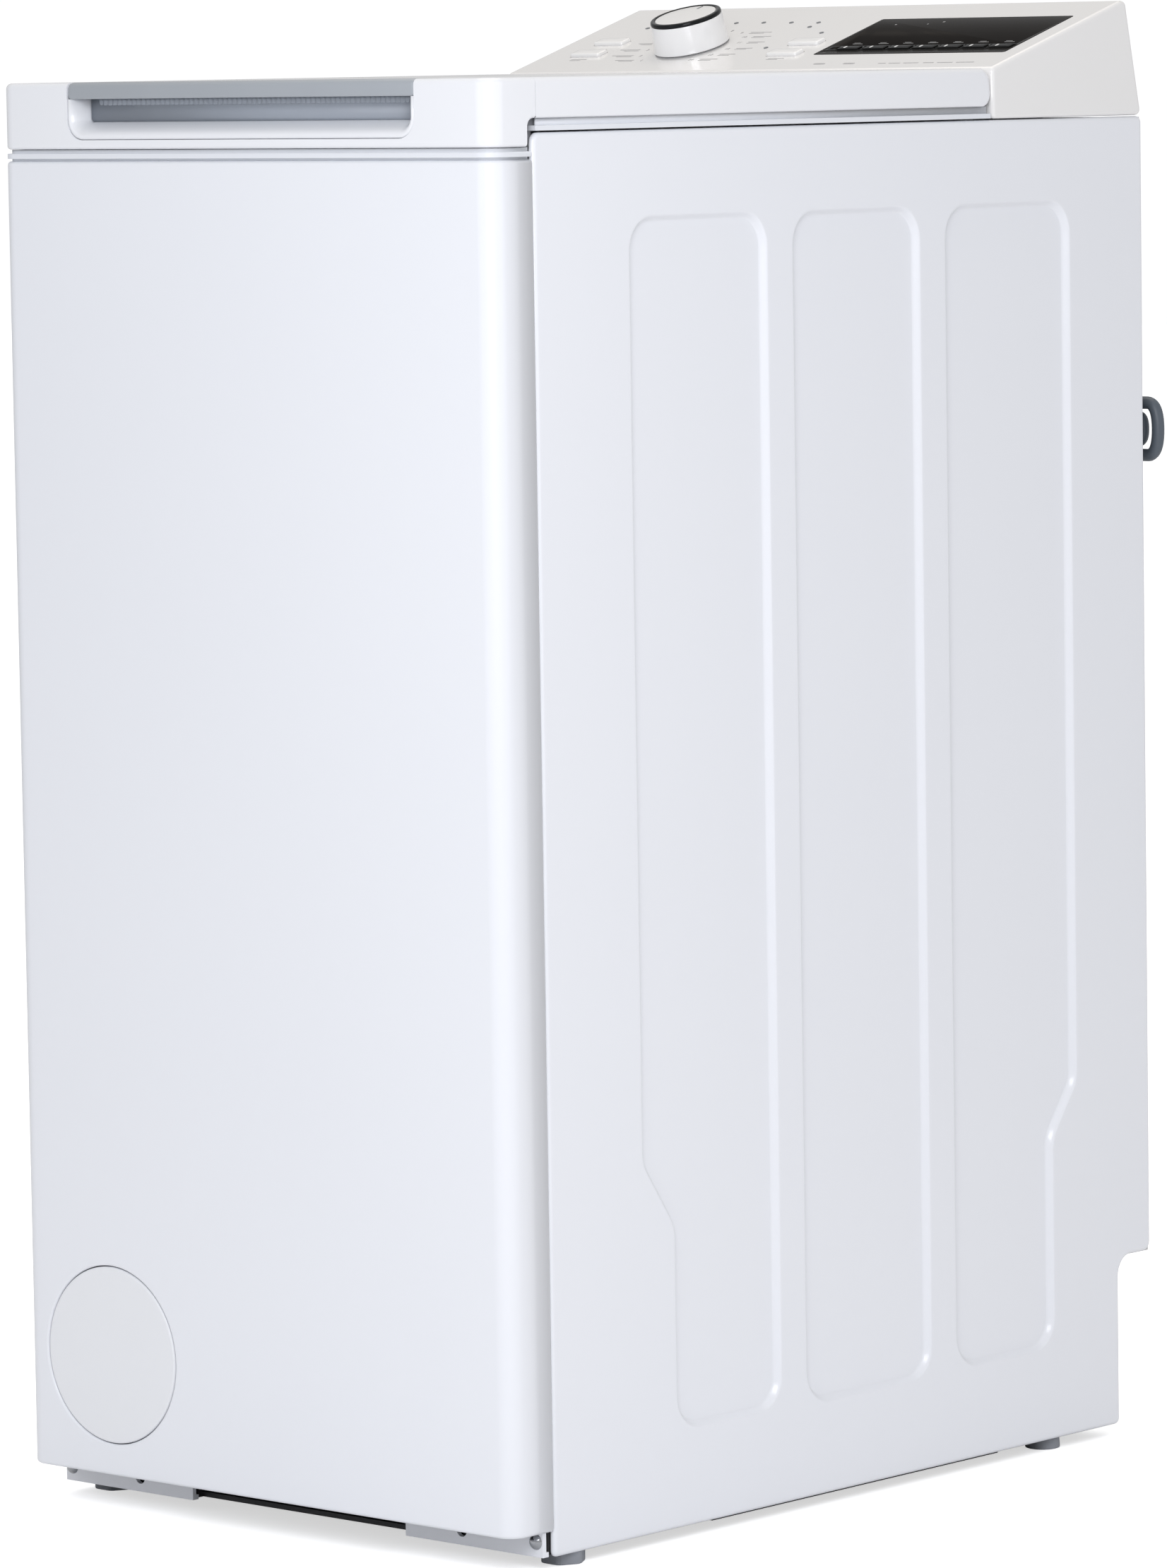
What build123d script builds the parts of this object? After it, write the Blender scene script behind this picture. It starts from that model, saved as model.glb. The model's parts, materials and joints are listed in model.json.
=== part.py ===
from build123d import *
from math import acos, atan2, cos, degrees, radians, sin, tan
import os

os.makedirs("parts", exist_ok=True)

# Slim top loading washing machine. Millimetres, +Z up, the front faces -Y, the right side is +X.
# The origin is on the floor, in the middle of the cabinet.

# cabinet
half_width = 200.0
half_depth = 300.0
height = 900.0
sheet = 1.2                 # steel sheet, with its paint
panel_top = 828.5
panel_bottom = 7.5
side_front_y = -264.6       # where the side panels start, behind the wrapped front panel
front_top = 813.5
front_bottom = 22.8
corner_radius = 12.0
notch_y = 267.4             # the lower rear stands back from the wall, for taps and pipes
notch_top = 114.0

# pressed panels in the cabinet's sides
press_depth = 4.0
press_slope = 5.5
press_radius = 20.0

# lid and its hinge
lid_top = 860.0
lid_rear_y = 151.0
lid_seam_y = -261.4
skirt_bottom = 836.7
trim_bottom = 820.6
wall = 3.0
hinge_y = 142.0
hinge_z = 851.0
rear_round = lid_rear_y - hinge_y
grip_half = 141.0
recess_half = 128.0

# console
console_y = 151.8
console_bottom = 829.2
fascia_angle = 17.3
fascia_start = (0, 150.8, 860.0)
console_back_y = 279.2

# tub and drum, which lie across the machine
drum_y = -45.0
drum_z = 470.0
drum_radius = 214.0
drum_half = 138.0
drum_sheet = 1.5
tub_inner = 231.0
tub_outer = 236.0
tub_half = 145.0
end_plate = 5.0
shaft_radius = 15.0
bearing_radius = 26.0
flap_hinge_angle = 33.0
flap_pin_radius = 1.5
mouth_x = 143.0
mouth_y = 133.0
neck_top = 745.0
collar_bottom = 790.0

# drive
motor_y = 120.0
motor_z = 190.0
pulley_radius = 130.0
motor_pulley_radius = 10.0
belt_gap = 0.3
belt_thickness = 2.7
pulley_x = (168.0, 182.0)
shaft_gap = 0.05

# drain pump and its filter
pump_x = -126.5
pump_z = 96.5
cover_radius = 53.7
cover_hole = 54.3

# mains lead
cord_radius = 4.0
hank_y = (310.0, 335.0)
hank_z = 632.0
hank_radius = 20.5
hank_x = (60.5, 176.0)      # centres of the end bends
exit_x = -40.0
exit_z = 764.0
lead_y = 314.0
tail_y = 331.0
plug_top = 512.0

fascia_normal = (0, -sin(radians(fascia_angle)), cos(radians(fascia_angle)))
fascia = Plane(origin=fascia_start, x_dir=(1, 0, 0), z_dir=fascia_normal)
side_right = Plane.YZ.offset(half_width)
drum_plane = Plane(origin=(0, drum_y, drum_z), x_dir=(0, 1, 0), z_dir=(1, 0, 0))


def save(piece, label):
    """Name a finished piece and write its STEP file."""
    piece.part.label = label
    export_step(piece.part, f"parts/{label}.step")


def front_plane(x, z, y):
    """A plane that faces the front, with its origin at x, y, z."""
    return Plane(origin=(x, y, z), x_dir=(1, 0, 0), z_dir=(0, -1, 0))


def drum_section(x):
    """The drum's cross plane at x: its own x is the machine's +Y, its own y is +Z."""
    return drum_plane.offset(x)


def block(x0, x1, y0, y1, z0, z1, mode=Mode.ADD):
    """A box between two corners, in the block that is open."""
    with Locations(((x0 + x1) / 2, (y0 + y1) / 2, (z0 + z1) / 2)):
        Box(x1 - x0, y1 - y0, z1 - z0, mode=mode)


def along_x(x0, x1, y, z, radius, mode=Mode.ADD):
    """A cylinder along X from x0 to x1."""
    with BuildSketch(Plane(origin=(x0, y, z), x_dir=(0, 1, 0), z_dir=(1, 0, 0))) as disc:
        Circle(radius)
    extrude(disc.sketch, amount=x1 - x0, mode=mode)


def along_y(x, z, y0, y1, radius, mode=Mode.ADD):
    """A cylinder along Y from y0 to y1."""
    with BuildSketch(Plane(origin=(x, y0, z), x_dir=(1, 0, 0), z_dir=(0, 1, 0))) as disc:
        Circle(radius)
    extrude(disc.sketch, amount=y1 - y0, mode=mode)


def along_z(x, y, z0, z1, radius, mode=Mode.ADD):
    """A cylinder along Z from z0 to z1."""
    with BuildSketch(Plane(origin=(x, y, z0))) as disc:
        Circle(radius)
    extrude(disc.sketch, amount=z1 - z0, mode=mode)


def round_rect(x0, x1, y0, y1, radius, mode=Mode.ADD):
    """A rounded rectangle between two corners, in the sketch that is open."""
    with Locations(((x0 + x1) / 2, (y0 + y1) / 2)):
        RectangleRounded(x1 - x0, y1 - y0, radius, mode=mode)


# ---- cabinet ----

with BuildPart() as front_panel:
    with BuildSketch(Plane.XY.offset(front_bottom)):
        with BuildLine():
            Polyline(
                (-half_width, side_front_y - 0.8), (-half_width, -half_depth),
                (half_width, -half_depth), (half_width, side_front_y - 0.8), close=True)
        outline = make_face()
        fillet(outline.vertices().group_by(Axis.Y)[0], corner_radius)
    extrude(amount=front_top - front_bottom)
    with BuildSketch(Plane.XY.offset(front_bottom + sheet)):
        with BuildLine():
            Polyline(
                (-half_width + sheet, side_front_y + 1), (-half_width + sheet, -half_depth + sheet),
                (half_width - sheet, -half_depth + sheet), (half_width - sheet, side_front_y + 1),
                close=True)
        outline = make_face()
        fillet(outline.vertices().group_by(Axis.Y)[0], corner_radius - sheet)
    extrude(amount=front_top - front_bottom - 2 * sheet, mode=Mode.SUBTRACT)
    # folded lips along the top and the bottom stay 11 mm deep
    block(-198, 198, -289, -260, front_bottom - 1, front_top + 1, mode=Mode.SUBTRACT)
    # rolled rim of the filter opening
    along_y(pump_x, pump_z, -half_depth + sheet, -half_depth + 8, cover_hole + sheet)
    along_y(pump_x, pump_z, -half_depth - 1, -half_depth + 9, cover_hole, mode=Mode.SUBTRACT)
save(front_panel, "front_panel")

recess_front = [(-60.5, 65), (-60.5, 779.5), (-183.5, 779.5), (-183.5, 227), (-156, 187), (-156, 65)]
recess_middle = [(81, 63), (81, 779), (-38, 779), (-38, 63)]
recess_rear = [(104.5, 64.5), (202, 64.5), (202, 197), (226.5, 230), (226.5, 779), (104.5, 779)]


def pressing(points, x0, inset0, x1, inset1):
    """A closed solid between two outlines of a pressed recess, each inset from its corner points."""
    with BuildPart() as made:
        for x, inset in ((x0, inset0), (x1, inset1)):
            with BuildSketch(Plane.YZ.offset(x)):
                with BuildLine():
                    Polyline(*points, close=True)
                outline = make_face()
                fillet(outline.vertices(), press_radius)
                if inset:
                    offset(amount=-inset, mode=Mode.REPLACE)
        loft(ruled=True)
    return made.part


with BuildPart() as side_panel_right:
    with BuildSketch(side_right):
        with BuildLine():
            Polyline(
                (side_front_y, panel_bottom), (notch_y, panel_bottom), (notch_y, notch_top),
                (half_depth, notch_top), (half_depth, panel_top), (side_front_y, panel_top), close=True)
        outline = make_face()
        fillet(outline.vertices().sort_by_distance((half_width, notch_y, notch_top))[0], 13)
        fillet(outline.vertices().sort_by_distance((half_width, half_depth, notch_top))[0], 6)
        fillet(outline.vertices().sort_by_distance((half_width, side_front_y, panel_top))[0], 6)
    extrude(amount=-sheet)
    for points in (recess_front, recess_middle, recess_rear):
        behind = half_width - press_depth - sheet
        add(pressing(points, half_width - sheet, 0, behind, press_slope - 0.6))
        add(pressing(points, half_width, 0, half_width - press_depth, press_slope), mode=Mode.SUBTRACT)
    # the front edge folds inwards
    block(half_width - 14, half_width - sheet, side_front_y, side_front_y + sheet, 44, panel_top - 14)
save(side_panel_right, "side_panel_right")

with BuildPart() as side_panel_left:
    add(mirror(side_panel_right.part, about=Plane.YZ))
save(side_panel_left, "side_panel_left")

inlet_x = 150.0
inlet_z = 82.0
thread_radius = 13.22
drain_x = -30.0
drain_radius = 9.5

with BuildPart() as rear_panel:
    inside = half_width - sheet - 0.4
    block(-inside, inside, half_depth - 1.0 - sheet, half_depth - 1.0, notch_top, panel_top - 0.5)
    block(-inside, inside, notch_y - sheet, half_depth - 1.0, notch_top, notch_top + sheet)
    block(-inside, inside, notch_y - sheet, notch_y, 12, notch_top + sheet)
    # pressed service panel, with ventilation slots above it
    with BuildSketch(Plane(origin=(-20, half_depth - 1.0, 380), x_dir=(1, 0, 0), z_dir=(0, -1, 0))):
        RectangleRounded(290, 400, 30)
    extrude(amount=0.6, mode=Mode.SUBTRACT)
    with BuildSketch(Plane(origin=(-120, half_depth, 715), x_dir=(1, 0, 0), z_dir=(0, -1, 0))):
        with GridLocations(0, 12, 1, 6):
            SlotOverall(70, 5)
    extrude(amount=4, mode=Mode.SUBTRACT)
    along_y(inlet_x, inlet_z, notch_y - 4, notch_y + 4, thread_radius + 0.4, mode=Mode.SUBTRACT)
    along_y(drain_x, pump_z, notch_y - 4, notch_y + 4, drain_radius + 0.3, mode=Mode.SUBTRACT)
save(rear_panel, "rear_panel")

foot_x = 185.0
foot_y = -241.0
rear_foot_x = 185.0
rear_foot_y = 207.0
stem_radius = 5.0
damper_places = ((60.0, -150.0), (-120.0, 60.0))
damper_bore = 9.0

bar_y = -271.5              # front of the crossbar, set back behind the front panel's lower edge
base_y = bar_y + 5.0        # front of the base frame

with BuildPart() as base_frame:
    block(-196, 196, base_y, 264, 9, 42)
    block(-193, 193, base_y + 3, 261, 12, 43, mode=Mode.SUBTRACT)
    block(-70, 70, 0, 200, 8, 13, mode=Mode.SUBTRACT)
    block(-88, 88, base_y - 1, base_y + 4, 8, 24, mode=Mode.SUBTRACT)
    for side in (-1, 1):
        block(*sorted((side * 191.0, side * 195.0)), -120, 150, 6, 12)
        along_z(side * foot_x, foot_y, 9, 40, 9)
        along_z(side * foot_x, foot_y, 8, 41, stem_radius + shaft_gap, mode=Mode.SUBTRACT)
    # sockets of the two friction dampers
    for x, y in damper_places:
        along_z(x, y, 12, 150, 14)
        along_z(x, y, 18, 151, damper_bore + shaft_gap, mode=Mode.SUBTRACT)
    # seats under the pump
    block(pump_x - 25, pump_x - 15, base_y + 2, -150, 12, 50)
    block(pump_x + 15, pump_x + 25, base_y + 2, -150, 12, 50)
    along_y(pump_x, pump_z, -271, -149, 40, mode=Mode.SUBTRACT)
save(base_frame, "base_frame")

with BuildPart() as front_crossbar:
    block(-197, 197, bar_y, bar_y + 3, 8, 40)
    block(-88, 88, bar_y - 1, bar_y + 4, 7, 22, mode=Mode.SUBTRACT)
    for x in (-133, 133):
        along_y(x, 17, bar_y - 1, bar_y + 4, 4, mode=Mode.SUBTRACT)
    block(-197, -88, bar_y + 3, base_y, 8, 11)
    block(88, 197, bar_y + 3, base_y, 8, 11)
    block(-197, 197, bar_y + 3, base_y, 37, 40)
save(front_crossbar, "front_crossbar")

with BuildPart() as screws:
    # domed screws of the crossbar
    with Locations((-191.5, bar_y + 1.8, 17), (191.5, bar_y + 1.8, 17)):
        Sphere(5.1)
    block(-198, 198, bar_y, bar_y + 8, 10, 24, mode=Mode.SUBTRACT)
    # flat headed screws of the rear panel
    for x in (-185, 0, 185):
        for z in (150, 800):
            along_y(x, z, half_depth - 1.0, half_depth, 4)
save(screws, "screws")

with BuildPart() as rear_feet:
    for x in (-rear_foot_x, rear_foot_x):
        with BuildSketch(Plane(origin=(x, rear_foot_y, 0))):
            Circle(11)
        extrude(amount=9, taper=4)
save(rear_feet, "rear_feet")

for side, label in ((-1, "foot_front_left"), (1, "foot_front_right")):
    with BuildPart() as foot:
        with BuildSketch(Plane(origin=(side * foot_x, foot_y, 0))):
            RegularPolygon(14.0, 6, major_radius=True)
            fillet(vertices(), 5)
        extrude(amount=8.4)
        along_z(side * foot_x, foot_y, 8.4, 38, stem_radius)
    save(foot, label)

deck_top = 845.0
flange_z = (829.5, 832.5)

with BuildPart() as top_frame:
    # flange that shows as a thin line between the cabinet and the lid
    block(-half_width, half_width, -262, 150, *flange_z)
    block(-187, 187, -259, 151, flange_z[0] - 1, flange_z[1] + 1, mode=Mode.SUBTRACT)
    # raised deck under the lid
    block(-190, 190, -258, 138, flange_z[0], deck_top)
    block(-187, 187, -255, 135, flange_z[0] - 1, deck_top - wall, mode=Mode.SUBTRACT)
    # lower strip under the lid's front trim
    with BuildSketch(Plane.XY.offset(815)):
        with BuildLine():
            Polyline(
                (-half_width, -265.6), (-half_width, -half_depth),
                (half_width, -half_depth), (half_width, -265.6), close=True)
        outline = make_face()
        fillet(outline.vertices().group_by(Axis.Y)[0], corner_radius)
    extrude(amount=3)
    block(-190, 190, -266, -255, 815, 818)
    block(-190, 190, -258, -255, 815, flange_z[1])
    # deck under the console
    block(-197, 197, 146, 296, 822, 825)
    block(-187, 187, 138, 149, 822, flange_z[1])
    # loading mouth, with a collar down to the bellows
    with BuildSketch(Plane.XY.offset(collar_bottom)):
        with Locations((0, drum_y)):
            RectangleRounded(2 * mouth_x + 6, 2 * mouth_y + 6, 35)
    extrude(amount=deck_top - collar_bottom)
    with BuildSketch(Plane.XY.offset(collar_bottom - 1)):
        with Locations((0, drum_y)):
            RectangleRounded(2 * mouth_x, 2 * mouth_y, 32)
    extrude(amount=deck_top - collar_bottom + 2, mode=Mode.SUBTRACT)
    # slot for the lid's hook
    block(-11, 11, -232, -214, deck_top - 6, deck_top + 1, mode=Mode.SUBTRACT)
    # ears that carry the lid's stub pins
    for side in (-1, 1):
        along_x(side * 173 - 3, side * 173 + 3, hinge_y, hinge_z, 5)
        block(side * 173 - 3, side * 173 + 3, 127, 138, deck_top - 4, 854)
        block(side * 173 - 3, side * 173 + 3, 127, 141, 846.5, 854)
        along_x(side * 173 - 4, side * 173 + 4, hinge_y, hinge_z, 2.5 + shaft_gap, mode=Mode.SUBTRACT)
save(top_frame, "top_frame")

with BuildPart() as lid_lock:
    block(-30, 30, -250, -200, 806, deck_top - wall)
    block(-12, 12, -240, -210, 812, deck_top - wall + 1, mode=Mode.SUBTRACT)
save(lid_lock, "lid_lock")

with BuildPart() as neck_bellows:
    with BuildSketch(Plane.XY.offset(738)):
        with Locations((0, drum_y)):
            RectangleRounded(2 * mouth_x, 2 * mouth_y, 32)
            RectangleRounded(2 * mouth_x - 6, 2 * mouth_y - 6, 29, mode=Mode.SUBTRACT)
    extrude(amount=62)
save(neck_bellows, "neck_bellows")

# ---- console ----

knob_place = (-84.0, 52.0)
button_places = ((-161.5, 39.0), (-161.5, 63.0), (7.5, 35.0), (7.5, 57.0))
button_size = (25.0, 10.0)
key_places = [(x, 44.0) for x in (53.0, 74.0, 94.0, 114.0, 134.0, 154.0, 174.5)]
key_size = (17.0, 6.4)
window_box = (32.0, 186.0, 32.0, 105.0)
window_depth = 2.0

with BuildPart() as console_body:
    with BuildSketch(Plane.YZ.offset(-half_width)):
        with BuildLine():
            Polyline(
                (console_y, console_bottom), (console_y, 860.3), (console_back_y, height),
                (285, height), (half_depth, console_bottom), close=True)
        outline = make_face()
        upper = outline.vertices().sort_by(Axis.Z)[2:]
        fillet(upper, 3)
    extrude(amount=2 * half_width)
    long_edges = console_body.edges().filter_by(
        lambda e: abs(abs(e.center().X) - half_width) < 0.01 and e.center().Z > 858)
    fillet(long_edges, 2.5)
    with BuildSketch(Plane.YZ.offset(-half_width + wall)):
        with BuildLine():
            Polyline(
                (console_y + wall, console_bottom - 1), (console_y + wall, 858.2),
                (console_back_y, height - 3.1), (282.7, height - 3.1),
                (half_depth - wall, console_bottom - 1), close=True)
        make_face()
    extrude(amount=2 * (half_width - wall), mode=Mode.SUBTRACT)
    with BuildSketch(fascia.offset(2)):
        with Locations(knob_place):
            Circle(5)
        with Locations(*button_places):
            RectangleRounded(button_size[0] + 0.8, button_size[1] + 0.8, 2.4)
        with Locations(*key_places):
            RectangleRounded(key_size[0] + 0.8, key_size[1] + 0.8, 1.0)
    extrude(amount=-9, mode=Mode.SUBTRACT)
    with BuildSketch(fascia.offset(-window_depth)):
        round_rect(*window_box, 2)
    extrude(amount=5, mode=Mode.SUBTRACT)
    with BuildSketch(fascia.offset(2)):
        round_rect(window_box[0] + 4, window_box[1] - 4, 52, window_box[3] - 4, 2)
    extrude(amount=-9, mode=Mode.SUBTRACT)
save(console_body, "console_body")

with BuildPart() as display_window:
    with BuildSketch(fascia.offset(-window_depth)):
        round_rect(window_box[0] + 0.1, window_box[1] - 0.1, window_box[2] + 0.1, window_box[3] - 0.1, 1.9)
        with Locations(*key_places):
            RectangleRounded(key_size[0] + 0.8, key_size[1] + 0.8, 1.0, mode=Mode.SUBTRACT)
    extrude(amount=window_depth)
save(display_window, "display_window")

with BuildPart() as circuit_boards:
    # display board, then control board with the knob's encoder and the switches
    with BuildSketch(fascia.offset(-9.6)):
        round_rect(28, 190, 30, 110, 2)
    extrude(amount=1.6)
    with BuildSketch(fascia.offset(-13.6)):
        round_rect(-186, 24, 14, 118, 2)
    extrude(amount=1.6)
    with BuildSketch(fascia.offset(-12)):
        with Locations(knob_place):
            Circle(8)
            Circle(3 + shaft_gap, mode=Mode.SUBTRACT)
    extrude(amount=6)
    with BuildSketch(fascia.offset(-12)):
        with Locations(*button_places):
            Rectangle(6, 6)
    extrude(amount=3.4)
    with BuildSketch(fascia.offset(-12)):
        with Locations((-120, 90), (-60, 96)):
            Rectangle(24, 16)
    extrude(amount=5)
save(circuit_boards, "circuit_boards")

with BuildPart() as programme_knob:
    with BuildSketch(fascia.offset(0.8)):
        with Locations(knob_place):
            Circle(24.5)
    with BuildSketch(fascia.offset(20.2)):
        with Locations(knob_place):
            Circle(23)
    loft()
    with BuildSketch(fascia.offset(20.2)):
        with Locations(knob_place):
            Circle(23)
    with BuildSketch(fascia.offset(21.8)):
        with Locations(knob_place):
            Circle(21)
    loft()
    with BuildSketch(fascia.offset(-11.6)):
        with Locations(knob_place):
            Circle(3)
    extrude(amount=12.6)
save(programme_knob, "programme_knob")

for number, place in enumerate(button_places, start=1):
    with BuildPart() as button:
        with BuildSketch(fascia.offset(-6)):
            with Locations(place):
                RectangleRounded(*button_size, 2)
        extrude(amount=8)
        top_edges = button.faces().sort_by(lambda f: f.center().dot(Vector(*fascia_normal)))[-1].edges()
        fillet(top_edges, 0.8)
        with BuildSketch(fascia.offset(-6.6)):
            with Locations(place):
                RectangleRounded(button_size[0] + 3, button_size[1] + 3, 3)
        extrude(amount=1.2)
    save(button, f"option_button_{number}")

for number, place in enumerate(key_places, start=1):
    with BuildPart() as key:
        with BuildSketch(fascia.offset(-6)):
            with Locations(place):
                RectangleRounded(*key_size, 0.9)
        extrude(amount=6.7)
        with BuildSketch(fascia.offset(-6.6)):
            with Locations(place):
                RectangleRounded(key_size[0] + 2, key_size[1] + 2, 1.2)
        extrude(amount=1.2)
    save(key, f"display_key_{number}")

# ---- lid ----

with BuildPart() as lid_cover:
    with BuildSketch(Plane.YZ.offset(-half_width)):
        with BuildLine():
            Polyline(
                (lid_seam_y, skirt_bottom), (lid_seam_y, lid_top), (hinge_y, lid_top))
            ThreePointArc(
                (hinge_y, lid_top),
                (hinge_y + rear_round * cos(radians(45)),
                 hinge_z + rear_round * sin(radians(45))),
                (lid_rear_y, hinge_z))
            Polyline((lid_rear_y, hinge_z), (lid_rear_y, skirt_bottom), (lid_seam_y, skirt_bottom))
        make_face()
    extrude(amount=2 * half_width)
    side_edges = lid_cover.edges().filter_by(
        lambda e: abs(abs(e.center().X) - half_width) < 0.01 and e.center().Z > lid_top - 0.1)
    fillet(side_edges, 3)
    # hollow under the top, open at the front and below
    with BuildSketch(Plane.YZ.offset(-half_width + wall)):
        with BuildLine():
            Polyline(
                (lid_seam_y - 1, skirt_bottom - 1), (lid_seam_y - 1, lid_top - wall),
                (hinge_y, lid_top - wall))
            ThreePointArc(
                (hinge_y, lid_top - wall),
                (hinge_y + (rear_round - wall) * cos(radians(45)),
                 hinge_z + (rear_round - wall) * sin(radians(45))),
                (lid_rear_y - wall, hinge_z))
            Polyline(
                (lid_rear_y - wall, hinge_z), (lid_rear_y - wall, hinge_z - 1), (lid_rear_y + 1, hinge_z - 1),
                (lid_rear_y + 1, skirt_bottom - 1), (lid_seam_y - 1, skirt_bottom - 1))
        make_face()
    extrude(amount=2 * (half_width - wall), mode=Mode.SUBTRACT)
    # stub pins of the hinge and the blocks that hold them
    for side in (-1, 1):
        for offset_x in (-8, 8):
            middle = side * 173 + offset_x
            block(middle - 3.5, middle + 3.5, 137, 147, 848.5, lid_top - wall)
        along_x(side * 173 - 8, side * 173 + 8, hinge_y, hinge_z, 2.5)
save(lid_cover, "lid_cover")

with BuildPart() as lid_front_trim:
    with BuildSketch(Plane.XY.offset(trim_bottom)):
        with BuildLine():
            Polyline(
                (-half_width, lid_seam_y - 0.2), (-half_width, -half_depth),
                (half_width, -half_depth), (half_width, lid_seam_y - 0.2), close=True)
        outline = make_face()
        fillet(outline.vertices().group_by(Axis.Y)[0], corner_radius)
    extrude(amount=lid_top - trim_bottom)
    # seat of the grip, and the hollow behind it
    with BuildSketch(front_plane(0, 0, -half_depth - 1)):
        round_rect(-grip_half - 0.2, grip_half + 0.2, 826, 874, 12)
    extrude(amount=-27, mode=Mode.SUBTRACT)
    block(-half_width + wall, half_width - wall, -271, -260, trim_bottom + wall, lid_top - wall,
          mode=Mode.SUBTRACT)
    for side in (-1, 1):
        block(*sorted((side * 146.0, side * 194.0)), -296, -272, trim_bottom + wall, lid_top - wall,
              mode=Mode.SUBTRACT)
    # the lower edge sweeps up to the skirt's level, clear of the cabinet's corner
    with BuildSketch(Plane.YZ.offset(-half_width - 1)):
        with BuildLine():
            Polyline((-262, skirt_bottom), (-255, skirt_bottom), (-255, trim_bottom - 1),
                     (-269, trim_bottom - 1), (-269, skirt_bottom - 7))
            ThreePointArc((-269, skirt_bottom - 7), (-266.95, skirt_bottom - 2.05), (-262, skirt_bottom))
        make_face()
    extrude(amount=2 * half_width + 2, mode=Mode.SUBTRACT)
save(lid_front_trim, "lid_front_trim")

with BuildPart() as lid_grip:
    with BuildSketch(front_plane(0, 0, -half_depth)):
        round_rect(-grip_half, grip_half, 826.2, 872, 11.8)
    extrude(amount=-25.8)
    block(-grip_half - 1, grip_half + 1, -301, -270, lid_top, 880, mode=Mode.SUBTRACT)
    # finger recess: upright grey wall at the back and a sloped lip below
    with BuildSketch(Plane.YZ.offset(-recess_half)):
        with BuildLine():
            Polyline((-301, 827.5), (-291, 836.6), (-287, 836.6), (-287, 850), (-301, 850), close=True)
        make_face()
    extrude(amount=2 * recess_half, mode=Mode.SUBTRACT)
save(lid_grip, "lid_grip")

housing_x = 114.0
housing_y = (-52.0, 62.0)
housing_z = (795.0, 849.0)
tray_x = 110.0
tray_y = (-60.0, 56.0)
tray_z = (799.4, 842.0)

with BuildPart() as lid_liner:
    block(-186, 186, -250, 122, 849, 852)
    block(-183, 183, -247, 119, 852, 856.7)
    block(-180, 180, -244, 116, 852, 857, mode=Mode.SUBTRACT)
    # hook of the lid lock
    block(-8, 8, -226, -222, 824, 850)
    block(-8, 8, -226, -218, 820, 826)
    # housing that holds the detergent tray, open to the front
    block(-housing_x, housing_x, *housing_y, *housing_z)
    block(-tray_x - 0.4, tray_x + 0.4, housing_y[0] - 1, tray_y[1] + 0.4, 799, 842.4, mode=Mode.SUBTRACT)
    block(-80, 80, -30, 40, 790, 800, mode=Mode.SUBTRACT)
save(lid_liner, "lid_liner")

compartments = ((-107.5, -38.0), (-35.5, 35.5), (38.0, 107.5))

with BuildPart() as dispenser_tray:
    block(-tray_x, tray_x, *tray_y, *tray_z)
    for x0, x1 in compartments:
        block(x0, x1, tray_y[0] - 1, 53.5, 802, 839.5, mode=Mode.SUBTRACT)
save(dispenser_tray, "dispenser_tray")

# ---- tub and what it carries ----

spring_places = [(side * 165.0, y) for side in (-1, 1) for y in (-100.0, 10.0)]
sump_y = -195.0

with BuildPart() as tub:
    with BuildSketch(drum_section(-tub_half)):
        Circle(tub_outer)
    extrude(amount=2 * tub_half)
    with BuildSketch(Plane.XY.offset(drum_z)):
        with Locations((0, drum_y)):
            RectangleRounded(276, 256, 27)
    extrude(amount=neck_top - drum_z)
    for x, y in damper_places:
        along_z(x, y, 232, 300, 12)
    along_z(pump_x, sump_y, 205, 330, 15)
    with BuildSketch(Plane.XY.offset(drum_z)):
        with Locations((0, drum_y)):
            RectangleRounded(268, 248, 23)
    extrude(amount=neck_top - drum_z + 1, mode=Mode.SUBTRACT)
    with BuildSketch(drum_section(-tub_half - 1)):
        Circle(tub_inner)
    extrude(amount=2 * tub_half + 2, mode=Mode.SUBTRACT)
    along_z(pump_x, sump_y, 204, 331, 12, mode=Mode.SUBTRACT)
    # end plates, each a separate moulding with a bearing hub
    for side in (-1, 1):
        along_x(*sorted((side * tub_half, side * (tub_half + end_plate))), drum_y, drum_z, tub_outer)
        along_x(*sorted((side * tub_half, side * 164.0)), drum_y, drum_z, 36)
        along_x(*sorted((side * 144.0, side * 165.0)), drum_y, drum_z, bearing_radius, mode=Mode.SUBTRACT)
        for y in (-100.0, 10.0):
            block(*sorted((side * (tub_half + end_plate), side * 176.0)), y - 12, y + 12, 684, 692)
    along_x(-151, -144, drum_y, drum_z - 222, 11, mode=Mode.SUBTRACT)
save(tub, "tub")

with BuildPart() as heater:
    rod_z = drum_z - 222
    with BuildSketch(Plane(origin=(-150, drum_y - 6.5, rod_z), x_dir=(0, 1, 0), z_dir=(1, 0, 0))):
        with Locations((0, 0), (13, 0)):
            Circle(3.4)
    extrude(amount=238)
    with BuildSketch(Plane(origin=(88, drum_y, rod_z), x_dir=(0, 1, 0), z_dir=(1, 0, 0))):
        with Locations((-6.5, 0)):
            Circle(3.4)
    revolve(axis=Axis((88, drum_y, rod_z), (0, 0, 1)), revolution_arc=180)
    along_x(-156, -150, drum_y, rod_z, 20)
save(heater, "heater")

with BuildPart() as counterweights:
    block(-130, 130, 120, 235, 540, 680)
    block(-100, 115, -262, -180, 180, 300)
    with BuildSketch(drum_section(-140)):
        Circle(tub_outer + 0.5)
    extrude(amount=280, mode=Mode.SUBTRACT)
save(counterweights, "counterweights")

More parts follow.
